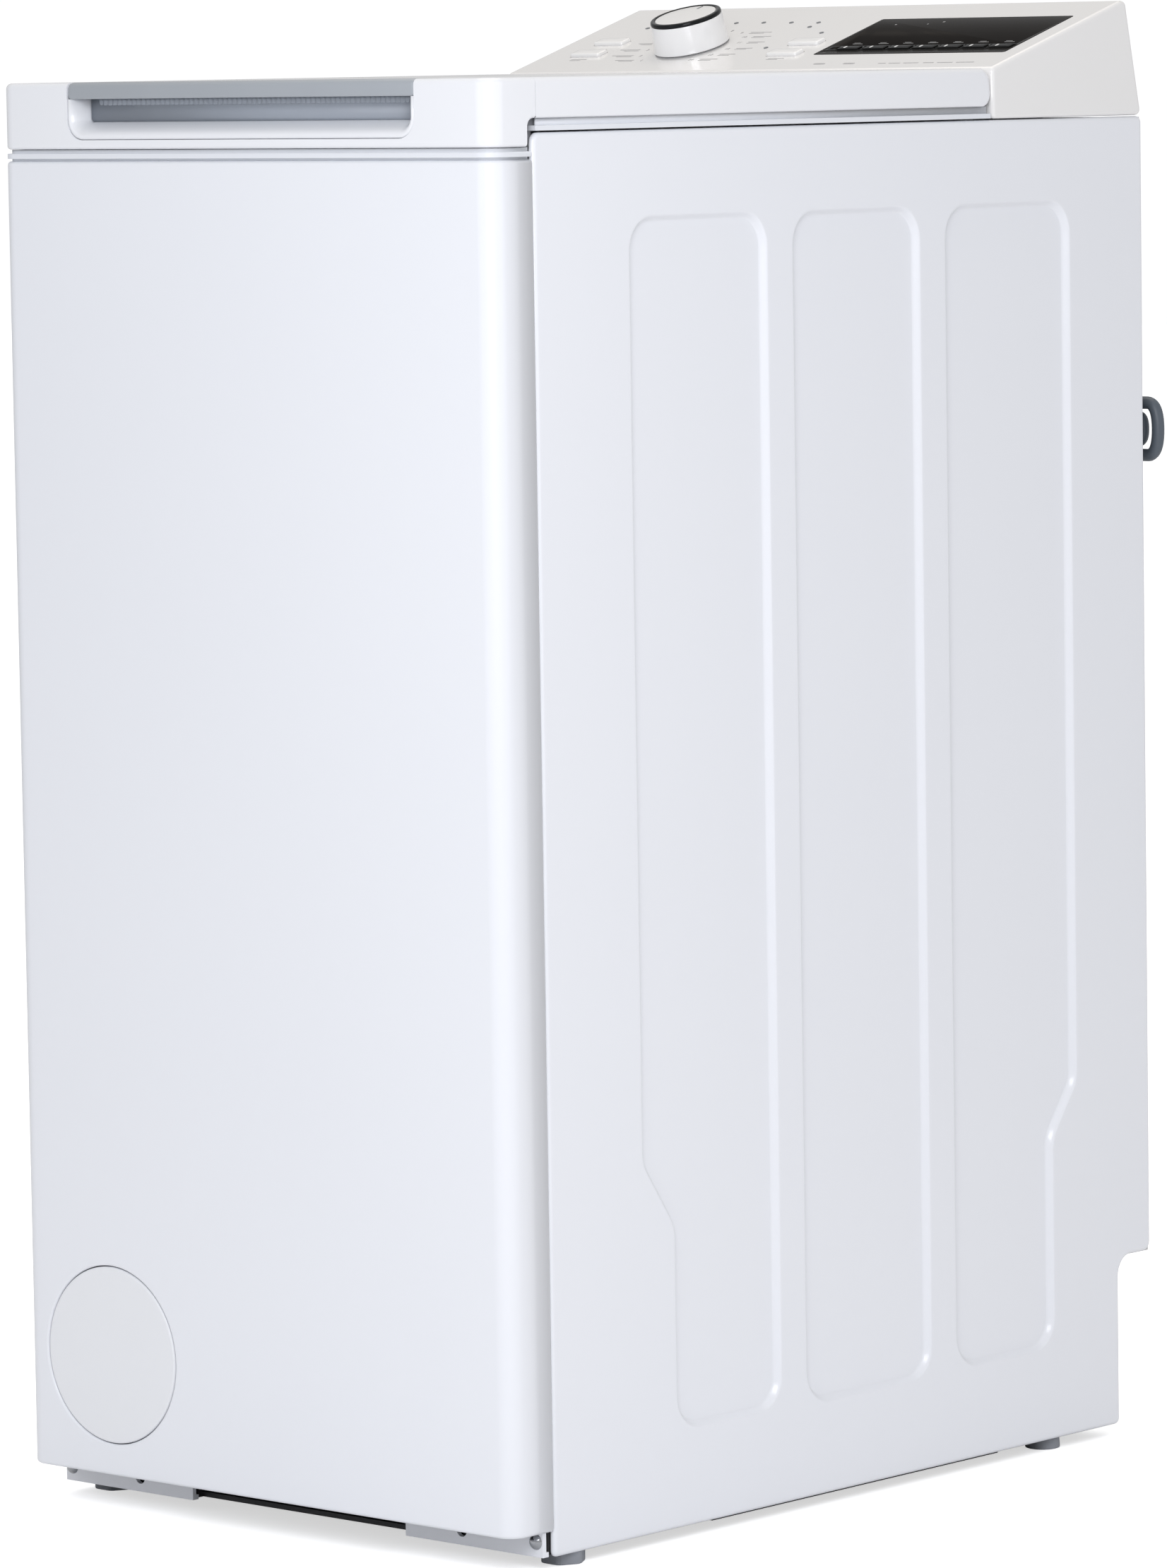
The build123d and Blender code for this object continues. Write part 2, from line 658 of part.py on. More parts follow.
with BuildPart() as motor_body:
    along_x(-45, 105, motor_y, motor_z, 58)
    along_x(105, 112, motor_y, motor_z, 40)
    along_x(-52, -45, motor_y, motor_z, 40)
    block(-30, 90, 70, 110, motor_z + 30, 262)
    with BuildSketch(drum_section(-40)):
        Circle(tub_outer + 0.3)
    extrude(amount=150, mode=Mode.SUBTRACT)
    along_x(-40, 113, motor_y, motor_z, 6 + shaft_gap, mode=Mode.SUBTRACT)
save(motor_body, "motor_body")

with BuildPart() as motor_rotor:
    along_x(-38, 186, motor_y, motor_z, 6)
    along_x(pulley_x[0] - 1, pulley_x[1] + 1, motor_y, motor_z, motor_pulley_radius)
save(motor_rotor, "motor_rotor")

with BuildPart() as damper_rods:
    for x, y in damper_places:
        along_z(x, y, 60, 232, damper_bore)
save(damper_rods, "damper_rods")

with BuildPart() as suspension_springs:
    for x, y in spring_places:
        along_z(x, y, 692, 800, 9)
save(suspension_springs, "suspension_springs")

with BuildPart() as bearings:
    for side in (-1, 1):
        ends = sorted((side * 146.0, side * 162.0))
        along_x(*ends, drum_y, drum_z, bearing_radius)
        along_x(*ends, drum_y, drum_z, shaft_radius + shaft_gap, mode=Mode.SUBTRACT)
save(bearings, "bearings")


def belt_outline(big, small):
    """Closed line round the drum pulley and the motor pulley: two arcs and their two tangents."""
    dy, dz = motor_y - drum_y, motor_z - drum_z
    reach = (dy * dy + dz * dz) ** 0.5
    toward = atan2(dz, dy)
    spread = acos((big - small) / reach)

    def on(centre_y, centre_z, radius, angle):
        return (centre_y + radius * cos(angle), centre_z + radius * sin(angle))

    big_a = on(0, 0, big, toward + spread)
    big_b = on(0, 0, big, toward - spread)
    small_a = on(dy, dz, small, toward + spread)
    small_b = on(dy, dz, small, toward - spread)
    Line(big_a, small_a)
    ThreePointArc(small_a, on(dy, dz, small, toward), small_b)
    Line(small_b, big_b)
    ThreePointArc(big_b, on(0, 0, big, toward + radians(180)), big_a)


with BuildPart() as drive_belt:
    with BuildSketch(drum_section(pulley_x[0] + 2)):
        with BuildLine():
            belt_outline(
                pulley_radius + belt_gap + belt_thickness,
                motor_pulley_radius + belt_gap + belt_thickness)
        make_face()
        with BuildLine():
            belt_outline(pulley_radius + belt_gap, motor_pulley_radius + belt_gap)
        make_face(mode=Mode.SUBTRACT)
    extrude(amount=pulley_x[1] - pulley_x[0] - 4)
save(drive_belt, "drive_belt")

# ---- drum ----

flap_half = 119.0
pin_ring = drum_radius - drum_sheet / 2
lug_spans = ((-118.0, -104.0), (-8.0, 8.0), (104.0, 118.0))
knuckle_spans = ((-100.0, -60.0), (60.0, 100.0))


def drum_point(radius, angle):
    """The point of the drum's cross plane at an angle from the top, positive towards the rear."""
    return (radius * sin(radians(angle)), radius * cos(radians(angle)))


def shell_sector(inner, outer, angle0, angle1):
    """Part of a ring between two angles from the top, in the sketch that is open."""
    Circle(outer)
    Circle(inner, mode=Mode.SUBTRACT)
    with BuildLine() as wedge:
        Polyline((0, 0), drum_point(2 * outer, angle0), drum_point(2 * outer, angle1), close=True)
    make_face(wedge.edges(), mode=Mode.INTERSECT)


with BuildPart() as drum_shell:
    with BuildSketch(drum_section(-drum_half)):
        Circle(drum_radius)
        Circle(drum_radius - drum_sheet, mode=Mode.SUBTRACT)
    extrude(amount=2 * drum_half)
    block(-122, 122, drum_y - 121, drum_y + 121, drum_z + 140, drum_z + 230, mode=Mode.SUBTRACT)
    # lugs that hold the hinge pins of the flaps
    for angle in (-flap_hinge_angle, flap_hinge_angle):
        pin_y, pin_z = drum_point(pin_ring, angle)
        inner_edge = angle * (1 + 0.3 / flap_hinge_angle)
        outer_edge = angle * (1 + 2.4 / flap_hinge_angle)
        for x0, x1 in lug_spans:
            with BuildSketch(drum_section(x0)):
                shell_sector(drum_radius - drum_sheet, drum_radius, *sorted((inner_edge, outer_edge)))
            extrude(amount=x1 - x0)
            along_x(x0, x1, drum_y + pin_y, drum_z + pin_z, 3)
            along_x(x0, x1, drum_y + pin_y, drum_z + pin_z, flap_pin_radius, mode=Mode.SUBTRACT)
    # pressed end discs
    for side in (-1, 1):
        ends = sorted((side * (drum_half - 3), side * (drum_half - 1.5)))
        along_x(*ends, drum_y, drum_z, drum_radius - drum_sheet)
save(drum_shell, "drum_shell")

with BuildPart() as drum_lifters:
    with BuildSketch(drum_section(-118)):
        for angle in (90, 180, 270):
            with BuildLine():
                across = degrees(25 / drum_radius)
                tip = degrees(9 / 184)
                Polyline(
                    drum_point(drum_radius + 10, angle - across), drum_point(184, angle - tip),
                    drum_point(184, angle + tip), drum_point(drum_radius + 10, angle + across), close=True)
            make_face()
        Circle(drum_radius - drum_sheet, mode=Mode.INTERSECT)
    extrude(amount=236)
save(drum_lifters, "drum_lifters")

with BuildPart() as drum_shafts:
    for side in (-1, 1):
        along_x(*sorted((side * (drum_half - 1.5), side * (drum_half + 4.5))), drum_y, drum_z, 44)
        along_x(*sorted((side * drum_half, side * 185.0)), drum_y, drum_z, shaft_radius)
        # hinge pins of the two flaps
        pin_y, pin_z = drum_point(pin_ring, side * flap_hinge_angle)
        along_x(-118, 118, drum_y + pin_y, drum_z + pin_z, flap_pin_radius)
save(drum_shafts, "drum_shafts")

with BuildPart() as drum_pulley:
    along_x(*pulley_x, drum_y, drum_z, pulley_radius)
    for x0, x1 in ((pulley_x[0] - 1, 173.0), (177.0, pulley_x[1] + 1)):
        along_x(x0, x1, drum_y, drum_z, pulley_radius - 9, mode=Mode.SUBTRACT)
    along_x(166, pulley_x[1], drum_y, drum_z, 28)
    with BuildSketch(drum_section(160)):
        with PolarLocations(75, 6):
            Circle(30)
        Circle(shaft_radius)
    extrude(amount=30, mode=Mode.SUBTRACT)
save(drum_pulley, "drum_pulley")

button_angle = -6.0
button_y, button_z = drum_point(drum_radius, button_angle)
button_plane = Plane(
    origin=(0, drum_y + button_y, drum_z + button_z), x_dir=(1, 0, 0),
    z_dir=(0, sin(radians(button_angle)), cos(radians(button_angle))))

for side, label in ((-1, "drum_flap_front"), (1, "drum_flap_rear")):
    with BuildPart() as flap:
        with BuildSketch(drum_section(-flap_half)):
            edge = side * (flap_hinge_angle - 0.5)
            shell_sector(drum_radius - drum_sheet, drum_radius, *sorted((edge, side * 0.3)))
        extrude(amount=2 * flap_half)
        pin_y, pin_z = drum_point(pin_ring, side * flap_hinge_angle)
        for x0, x1 in lug_spans:
            along_x(x0 - 1.5, x1 + 1.5, drum_y + pin_y, drum_z + pin_z, 3.6, mode=Mode.SUBTRACT)
        for x0, x1 in knuckle_spans:
            along_x(x0, x1, drum_y + pin_y, drum_z + pin_z, 3)
        along_x(-flap_half, flap_half, drum_y + pin_y, drum_z + pin_z, flap_pin_radius + shaft_gap,
                mode=Mode.SUBTRACT)
        if side < 0:
            with BuildSketch(button_plane.offset(4)):
                RectangleRounded(41, 15, 3.5)
            extrude(amount=-9, mode=Mode.SUBTRACT)
    save(flap, label)

with BuildPart() as flap_button:
    with BuildSketch(button_plane.offset(-4)):
        RectangleRounded(40, 14, 3)
    extrude(amount=5.4)
save(flap_button, "flap_button")

# ---- drain pump, water and waste ----

with BuildPart() as pump_housing:
    along_y(pump_x, pump_z, -286, -110, 39.6)
    along_y(pump_x, pump_z, -110, -60, 24)
    along_z(pump_x, sump_y, pump_z, 150, 15)
    along_x(pump_x, -72, -145, pump_z, 10)
    along_y(pump_x, pump_z, -287, -165, 31, mode=Mode.SUBTRACT)
    along_y(pump_x, pump_z, -166, -159, 12, mode=Mode.SUBTRACT)
    along_y(pump_x, pump_z, -160, -128, 27, mode=Mode.SUBTRACT)
    along_y(pump_x, pump_z, -129, -100, 3 + shaft_gap, mode=Mode.SUBTRACT)
    along_z(pump_x, sump_y, pump_z, 151, 12, mode=Mode.SUBTRACT)
    along_x(pump_x + 20, -71, -145, pump_z, 7.5, mode=Mode.SUBTRACT)
save(pump_housing, "pump_housing")

with BuildPart() as pump_impeller:
    along_y(pump_x, pump_z, -152, -104, 3)
    along_y(pump_x, pump_z, -136, -133, 20)
    with Locations((pump_x, -143, pump_z)):
        Box(44, 14, 3)
        Box(3, 14, 44)
save(pump_impeller, "pump_impeller")

with BuildPart() as pump_filter:
    along_y(pump_x, pump_z, -289, -286, 36)
    along_y(pump_x, pump_z, -286, -180, 30)
    along_y(pump_x, pump_z, -280, -179, 26, mode=Mode.SUBTRACT)
    with BuildSketch(Plane(origin=(pump_x, -220, pump_z), x_dir=(1, 0, 0), z_dir=(0, 0, 1))):
        with GridLocations(0, 22, 1, 4):
            RectangleRounded(36, 12, 4)
    extrude(amount=40, both=True, mode=Mode.SUBTRACT)
    block(pump_x - 26, pump_x + 26, -295, -289, pump_z - 5, pump_z + 5)
save(pump_filter, "pump_filter")

with BuildPart() as filter_cover:
    along_y(pump_x, pump_z, -half_depth, -half_depth + 1.8, cover_radius)
    along_y(pump_x, pump_z, -half_depth + 1.8, -half_depth + 4, cover_radius - 1)
    along_y(pump_x, pump_z, -half_depth + 1.8, -half_depth + 5, cover_radius - 3, mode=Mode.SUBTRACT)
save(filter_cover, "filter_cover")


def pipe(points, radii, radius, bore):
    """A pipe along straight runs joined by tangent arcs."""
    with BuildPart() as made:
        with BuildLine() as path:
            FilletPolyline(*points, radius=radii)
        with BuildSketch(Plane(origin=path.line @ 0, z_dir=path.line % 0)):
            Circle(radius)
            if bore:
                Circle(bore, mode=Mode.SUBTRACT)
        sweep()
    return made.part


with BuildPart() as drain_pipe:
    add(pipe([(-72, -145, pump_z), (drain_x, -145, pump_z), (drain_x, 262, pump_z)], [24], 10, 7.5))
    along_y(drain_x, pump_z, 262, 292, drain_radius)
    along_y(drain_x, pump_z, notch_y, notch_y + 3, 15)
    along_y(drain_x, pump_z, 261, 293, 7, mode=Mode.SUBTRACT)
save(drain_pipe, "drain_pipe")

with BuildPart() as inlet_valve:
    block(inlet_x - 25, inlet_x + 25, 215, 264, inlet_z - 22, inlet_z + 22)
    along_y(inlet_x, inlet_z, 264, 290, thread_radius)
    along_y(inlet_x, inlet_z, notch_y, notch_y + 3, 18)
    along_y(inlet_x, inlet_z, 250, 291, 9, mode=Mode.SUBTRACT)
    along_z(inlet_x, 228, inlet_z + 22, inlet_z + 45, 12)
    # hose up to the detergent tray, a separate solid that ends under the deck
    add(pipe(
        [(inlet_x - 25, 240, inlet_z), (95, 240, inlet_z), (95, 240, 190), (95, 278, 250),
         (95, 278, 790), (95, 200, 812)],
        [16, 30, 30, 30], 6, 4))
save(inlet_valve, "inlet_valve")

# ---- mains lead, tied in a hank behind the cabinet ----

with BuildPart() as cord_gland:
    # hood on the rear panel that sends the lead straight down
    with BuildSketch(Plane.XY.offset(exit_z + 10)):
        with Locations((exit_x, (half_depth - 1.0 + lead_y + 9) / 2)):
            RectangleRounded(26, lead_y + 9 - half_depth + 1.0, 6)
    extrude(amount=24)
    with BuildSketch(Plane.XY.offset(exit_z)):
        with Locations((exit_x, lead_y)):
            Circle(5.5)
    with BuildSketch(Plane.XY.offset(exit_z + 10)):
        with Locations((exit_x, lead_y)):
            Circle(7.5)
    loft()
save(cord_gland, "cord_gland")

with BuildPart() as cord_clip:
    # strap round the hank, on a foot that snaps into the rear panel
    block(112, 120, hank_y[0] - 2, hank_y[1] + 2, hank_z - hank_radius - 2, hank_z + hank_radius + 2)
    block(111, 121, *hank_y, hank_z - hank_radius, hank_z + hank_radius, mode=Mode.SUBTRACT)
    block(108, 124, half_depth - 1.0, hank_y[0] - 2, hank_z - 12, hank_z + 12)
save(cord_clip, "cord_clip")


def arc_radii(points):
    """The radius at each inner corner: 0.45 of the shorter run over the tangent of half the turn."""
    radii = []
    for before, here, after in zip(points, points[1:], points[2:]):
        first = Vector(*here) - Vector(*before)
        second = Vector(*after) - Vector(*here)
        half_turn = radians(first.get_angle(second)) / 2
        radii.append(0.45 * min(first.length, second.length) / tan(half_turn))
    return radii


lead_route = [
    (exit_x, lead_y, exit_z), (exit_x, lead_y, 733), (-37, lead_y, 703), (-24, lead_y, 674),
    (2, lead_y, 654.5), (32, lead_y, 648.8), (hank_x[0] + 2, lead_y, 648.5)]
tail_route = [
    (hank_x[0] + 2, tail_y, 615.5), (34, tail_y, 614.6), (8, tail_y, 604), (-9, tail_y, 581),
    (-14, tail_y, 553), (-13.6, tail_y, plug_top + 8)]
print("lead radii", [round(r) for r in arc_radii(lead_route)])
print("tail radii", [round(r) for r in arc_radii(tail_route)])

with BuildPart() as mains_cord:
    add(pipe(lead_route, arc_radii(lead_route), cord_radius, 0))
    add(pipe(tail_route, arc_radii(tail_route), cord_radius, 0))
save(mains_cord, "mains_cord")

with BuildPart() as cord_hank:
    with BuildSketch(Plane(origin=(0, hank_y[0], 0), x_dir=(1, 0, 0), z_dir=(0, -1, 0))):
        with Locations(((hank_x[0] + hank_x[1]) / 2, hank_z)):
            SlotCenterToCenter(hank_x[1] - hank_x[0], 2 * hank_radius)
    extrude(amount=hank_y[0] - hank_y[1])
save(cord_hank, "cord_hank")

with BuildPart() as plug:
    with BuildSketch(Plane.XY.offset(plug_top - 38)):
        with Locations((-13.6, tail_y)):
            Circle(14.5)
    extrude(amount=26)
    with BuildSketch(Plane.XY.offset(plug_top - 12)):
        with Locations((-13.6, tail_y)):
            Circle(14.5)
    with BuildSketch(Plane.XY.offset(plug_top + 8)):
        with Locations((-13.6, tail_y)):
            Circle(5.5)
    loft()
    for x in (-9.5, 9.5):
        along_z(-13.6 + x, tail_y, plug_top - 57, plug_top - 38, 2.4)
save(plug, "plug")
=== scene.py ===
import json
import math

import bmesh
import bpy
import numpy as np
from mathutils import Matrix, Vector
from mathutils.geometry import tessellate_polygon

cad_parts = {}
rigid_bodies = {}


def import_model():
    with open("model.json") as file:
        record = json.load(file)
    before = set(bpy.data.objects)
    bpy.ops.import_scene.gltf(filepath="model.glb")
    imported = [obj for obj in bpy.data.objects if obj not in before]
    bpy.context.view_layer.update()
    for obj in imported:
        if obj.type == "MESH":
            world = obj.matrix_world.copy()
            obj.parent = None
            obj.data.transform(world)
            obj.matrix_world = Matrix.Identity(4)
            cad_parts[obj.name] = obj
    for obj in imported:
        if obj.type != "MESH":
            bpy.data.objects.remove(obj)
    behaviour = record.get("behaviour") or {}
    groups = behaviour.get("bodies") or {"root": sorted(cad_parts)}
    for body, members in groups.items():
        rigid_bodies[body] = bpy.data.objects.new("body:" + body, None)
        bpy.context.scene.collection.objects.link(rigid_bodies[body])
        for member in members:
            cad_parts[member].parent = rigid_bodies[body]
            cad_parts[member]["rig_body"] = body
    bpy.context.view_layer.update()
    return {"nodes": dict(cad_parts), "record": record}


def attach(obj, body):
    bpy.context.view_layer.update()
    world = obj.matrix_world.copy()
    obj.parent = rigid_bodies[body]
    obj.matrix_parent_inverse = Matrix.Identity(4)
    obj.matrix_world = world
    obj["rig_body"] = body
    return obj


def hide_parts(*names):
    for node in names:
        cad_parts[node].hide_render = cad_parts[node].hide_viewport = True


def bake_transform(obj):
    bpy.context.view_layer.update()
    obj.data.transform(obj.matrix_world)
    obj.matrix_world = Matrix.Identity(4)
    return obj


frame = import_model()
nodes = frame["nodes"]
slotOf = {part["node"]: part["material_slot"] for part in frame["record"]["subparts"]}
mm = 0.001
print("stage: frame loaded")

# camera

camera = {
    "place": (3.0607, -3.4091, 0.87435),
    "yaw": 41.98,          # degrees to the left of +Y
    "pitch": -5.61,
    "roll": -0.88,
    "lens": 171.4,
    "sensor": 36.0,
}


def makeCamera():
    yaw, pitch, roll = (math.radians(camera[k]) for k in ("yaw", "pitch", "roll"))
    look = Vector((-math.sin(yaw) * math.cos(pitch), math.cos(yaw) * math.cos(pitch), math.sin(pitch)))
    right = Vector((math.cos(yaw), math.sin(yaw), 0))
    up = right.cross(look)
    tiltedRight = right * math.cos(roll) + up * math.sin(roll)
    tiltedUp = up * math.cos(roll) - right * math.sin(roll)
    data = bpy.data.cameras.new("camera")
    data.sensor_width = camera["sensor"]
    data.sensor_fit = "AUTO"
    data.lens = camera["lens"]
    data.clip_end = 100
    seen = bpy.data.objects.new("camera", data)
    bpy.context.scene.collection.objects.link(seen)
    turn = Matrix((tiltedRight, tiltedUp, -look)).transposed().to_4x4()
    seen.matrix_world = Matrix.Translation(camera["place"]) @ turn
    bpy.context.scene.camera = seen


makeCamera()

# shader node groups, each built once


def newGroup(name, inputs, outputs):
    group = bpy.data.node_groups.new(name, "ShaderNodeTree")
    for label, kind, value in inputs:
        socket = group.interface.new_socket(name=label, in_out="INPUT", socket_type=kind)
        socket.default_value = value
    for label, kind in outputs:
        group.interface.new_socket(name=label, in_out="OUTPUT", socket_type=kind)
    return group, group.nodes.new("NodeGroupInput"), group.nodes.new("NodeGroupOutput")


def addNode(tree, kind, values=(), **settings):
    # settings are the node's own options, values the fixed numbers of its sockets
    node = tree.nodes.new(kind)
    for key, value in settings.items():
        setattr(node, key, value)
    for key, value in dict(values).items():
        node.inputs[key].default_value = value
    return node


def mathNode(tree, operation, first, second=None):
    node = addNode(tree, "ShaderNodeMath", operation=operation)
    for place, value in ((0, first), (1, second)):
        if isinstance(value, (int, float)):
            node.inputs[place].default_value = value
        elif value is not None:
            tree.links.new(value, node.inputs[place])
    return node.outputs[0]


def makeSurfaceGroup():
    # slow change of tone, a fine grain for the bump and a roughness that wanders a little, all from Object coordinates
    group, given, put = newGroup(
        "surfaceTone",
        [("Color", "NodeSocketColor", (0.8, 0.8, 0.8, 1)), ("Shade", "NodeSocketColor", (0.7, 0.7, 0.7, 1)),
         ("Tone Size", "NodeSocketFloat", 6.0), ("Tone Share", "NodeSocketFloat", 0.4),
         ("Grain Size", "NodeSocketFloat", 900.0), ("Roughness", "NodeSocketFloat", 0.4),
         ("Wander", "NodeSocketFloat", 0.08)],
        [("Color", "NodeSocketColor"), ("Roughness", "NodeSocketFloat"), ("Height", "NodeSocketFloat")])
    links = group.links
    place = addNode(group, "ShaderNodeTexCoord")
    slow = addNode(group, "ShaderNodeTexNoise", {"Detail": 3.0, "Roughness": 0.55})
    fine = addNode(group, "ShaderNodeTexNoise", {"Detail": 2.0, "Roughness": 0.5})
    smear = addNode(group, "ShaderNodeTexNoise", {"Scale": 38.0, "Detail": 4.0, "Roughness": 0.65})
    for noise in (slow, fine, smear):
        links.new(place.outputs["Object"], noise.inputs["Vector"])
    links.new(given.outputs["Tone Size"], slow.inputs["Scale"])
    links.new(given.outputs["Grain Size"], fine.inputs["Scale"])
    share = mathNode(group, "MULTIPLY", slow.outputs["Fac"], given.outputs["Tone Share"])
    mix = addNode(group, "ShaderNodeMix", data_type="RGBA")
    links.new(share, mix.inputs["Factor"])
    links.new(given.outputs["Color"], mix.inputs["A"])
    links.new(given.outputs["Shade"], mix.inputs["B"])
    links.new(mix.outputs["Result"], put.inputs["Color"])
    off = mathNode(group, "SUBTRACT", smear.outputs["Fac"], 0.5)
    wander = mathNode(group, "MULTIPLY", off, given.outputs["Wander"])
    links.new(mathNode(group, "ADD", wander, given.outputs["Roughness"]), put.inputs["Roughness"])
    links.new(fine.outputs["Fac"], put.inputs["Height"])
    return group


def makeBrushGroup():
    # lines drawn out along one axis, as rolled, spun or brushed metal has
    group, given, put = newGroup(
        "brushedLines",
        [("Stretch", "NodeSocketVector", (4.0, 400.0, 400.0)), ("Dark", "NodeSocketColor", (0.4, 0.4, 0.4, 1)),
         ("Light", "NodeSocketColor", (0.7, 0.7, 0.7, 1)), ("Roughness", "NodeSocketFloat", 0.3)],
        [("Color", "NodeSocketColor"), ("Roughness", "NodeSocketFloat"), ("Height", "NodeSocketFloat")])
    links = group.links
    place = addNode(group, "ShaderNodeTexCoord")
    scaled = addNode(group, "ShaderNodeVectorMath", operation="MULTIPLY")
    links.new(place.outputs["Object"], scaled.inputs[0])
    links.new(given.outputs["Stretch"], scaled.inputs[1])
    lines = addNode(group, "ShaderNodeTexNoise", {"Scale": 1.0, "Detail": 3.0, "Roughness": 0.6})
    links.new(scaled.outputs["Vector"], lines.inputs["Vector"])
    mix = addNode(group, "ShaderNodeMix", data_type="RGBA")
    links.new(lines.outputs["Fac"], mix.inputs["Factor"])
    links.new(given.outputs["Dark"], mix.inputs["A"])
    links.new(given.outputs["Light"], mix.inputs["B"])
    links.new(mix.outputs["Result"], put.inputs["Color"])
    half = mathNode(group, "MULTIPLY", lines.outputs["Fac"], 0.2)
    links.new(mathNode(group, "ADD", half, given.outputs["Roughness"]), put.inputs["Roughness"])
    links.new(lines.outputs["Fac"], put.inputs["Height"])
    return group


surfaceGroup = makeSurfaceGroup()
brushGroup = makeBrushGroup()


def makeFinish(name, look):
    # color, shade: the two tones; tone, share, grain, rough, wander feed the group; the rest are the shader's own.
    material = bpy.data.materials.new(name)
    material.use_nodes = True
    tree = material.node_tree
    shader = tree.nodes["Principled BSDF"]
    effect = tree.nodes.new("ShaderNodeGroup")
    if "stretch" in look:
        effect.node_tree = brushGroup
        values = {"Stretch": look["stretch"], "Dark": (*look["shade"], 1), "Light": (*look["color"], 1)}
    else:
        effect.node_tree = surfaceGroup
        values = {"Color": (*look["color"], 1), "Shade": (*look["shade"], 1), "Tone Size": look.get("tone", 6.0),
                  "Tone Share": look.get("share", 0.5), "Grain Size": look.get("grain", 900.0),
                  "Wander": look.get("wander", 0.08)}
    values["Roughness"] = look["rough"]
    for key, value in values.items():
        effect.inputs[key].default_value = value
    tree.links.new(effect.outputs["Color"], shader.inputs["Base Color"])
    tree.links.new(effect.outputs["Roughness"], shader.inputs["Roughness"])
    bump = addNode(tree, "ShaderNodeBump", {"Strength": look.get("bump", 0.2), "Distance": look.get("deep", 0.00002)})
    tree.links.new(effect.outputs["Height"], bump.inputs["Height"])
    tree.links.new(bump.outputs["Normal"], shader.inputs["Normal"])
    shader.inputs["Metallic"].default_value = look.get("metal", 0.0)
    shader.inputs["Coat Weight"].default_value = look.get("coat", 0.0)
    shader.inputs["Coat Roughness"].default_value = look.get("coatRough", 0.08)
    shader.inputs["IOR"].default_value = look.get("ior", 1.5)
    return material


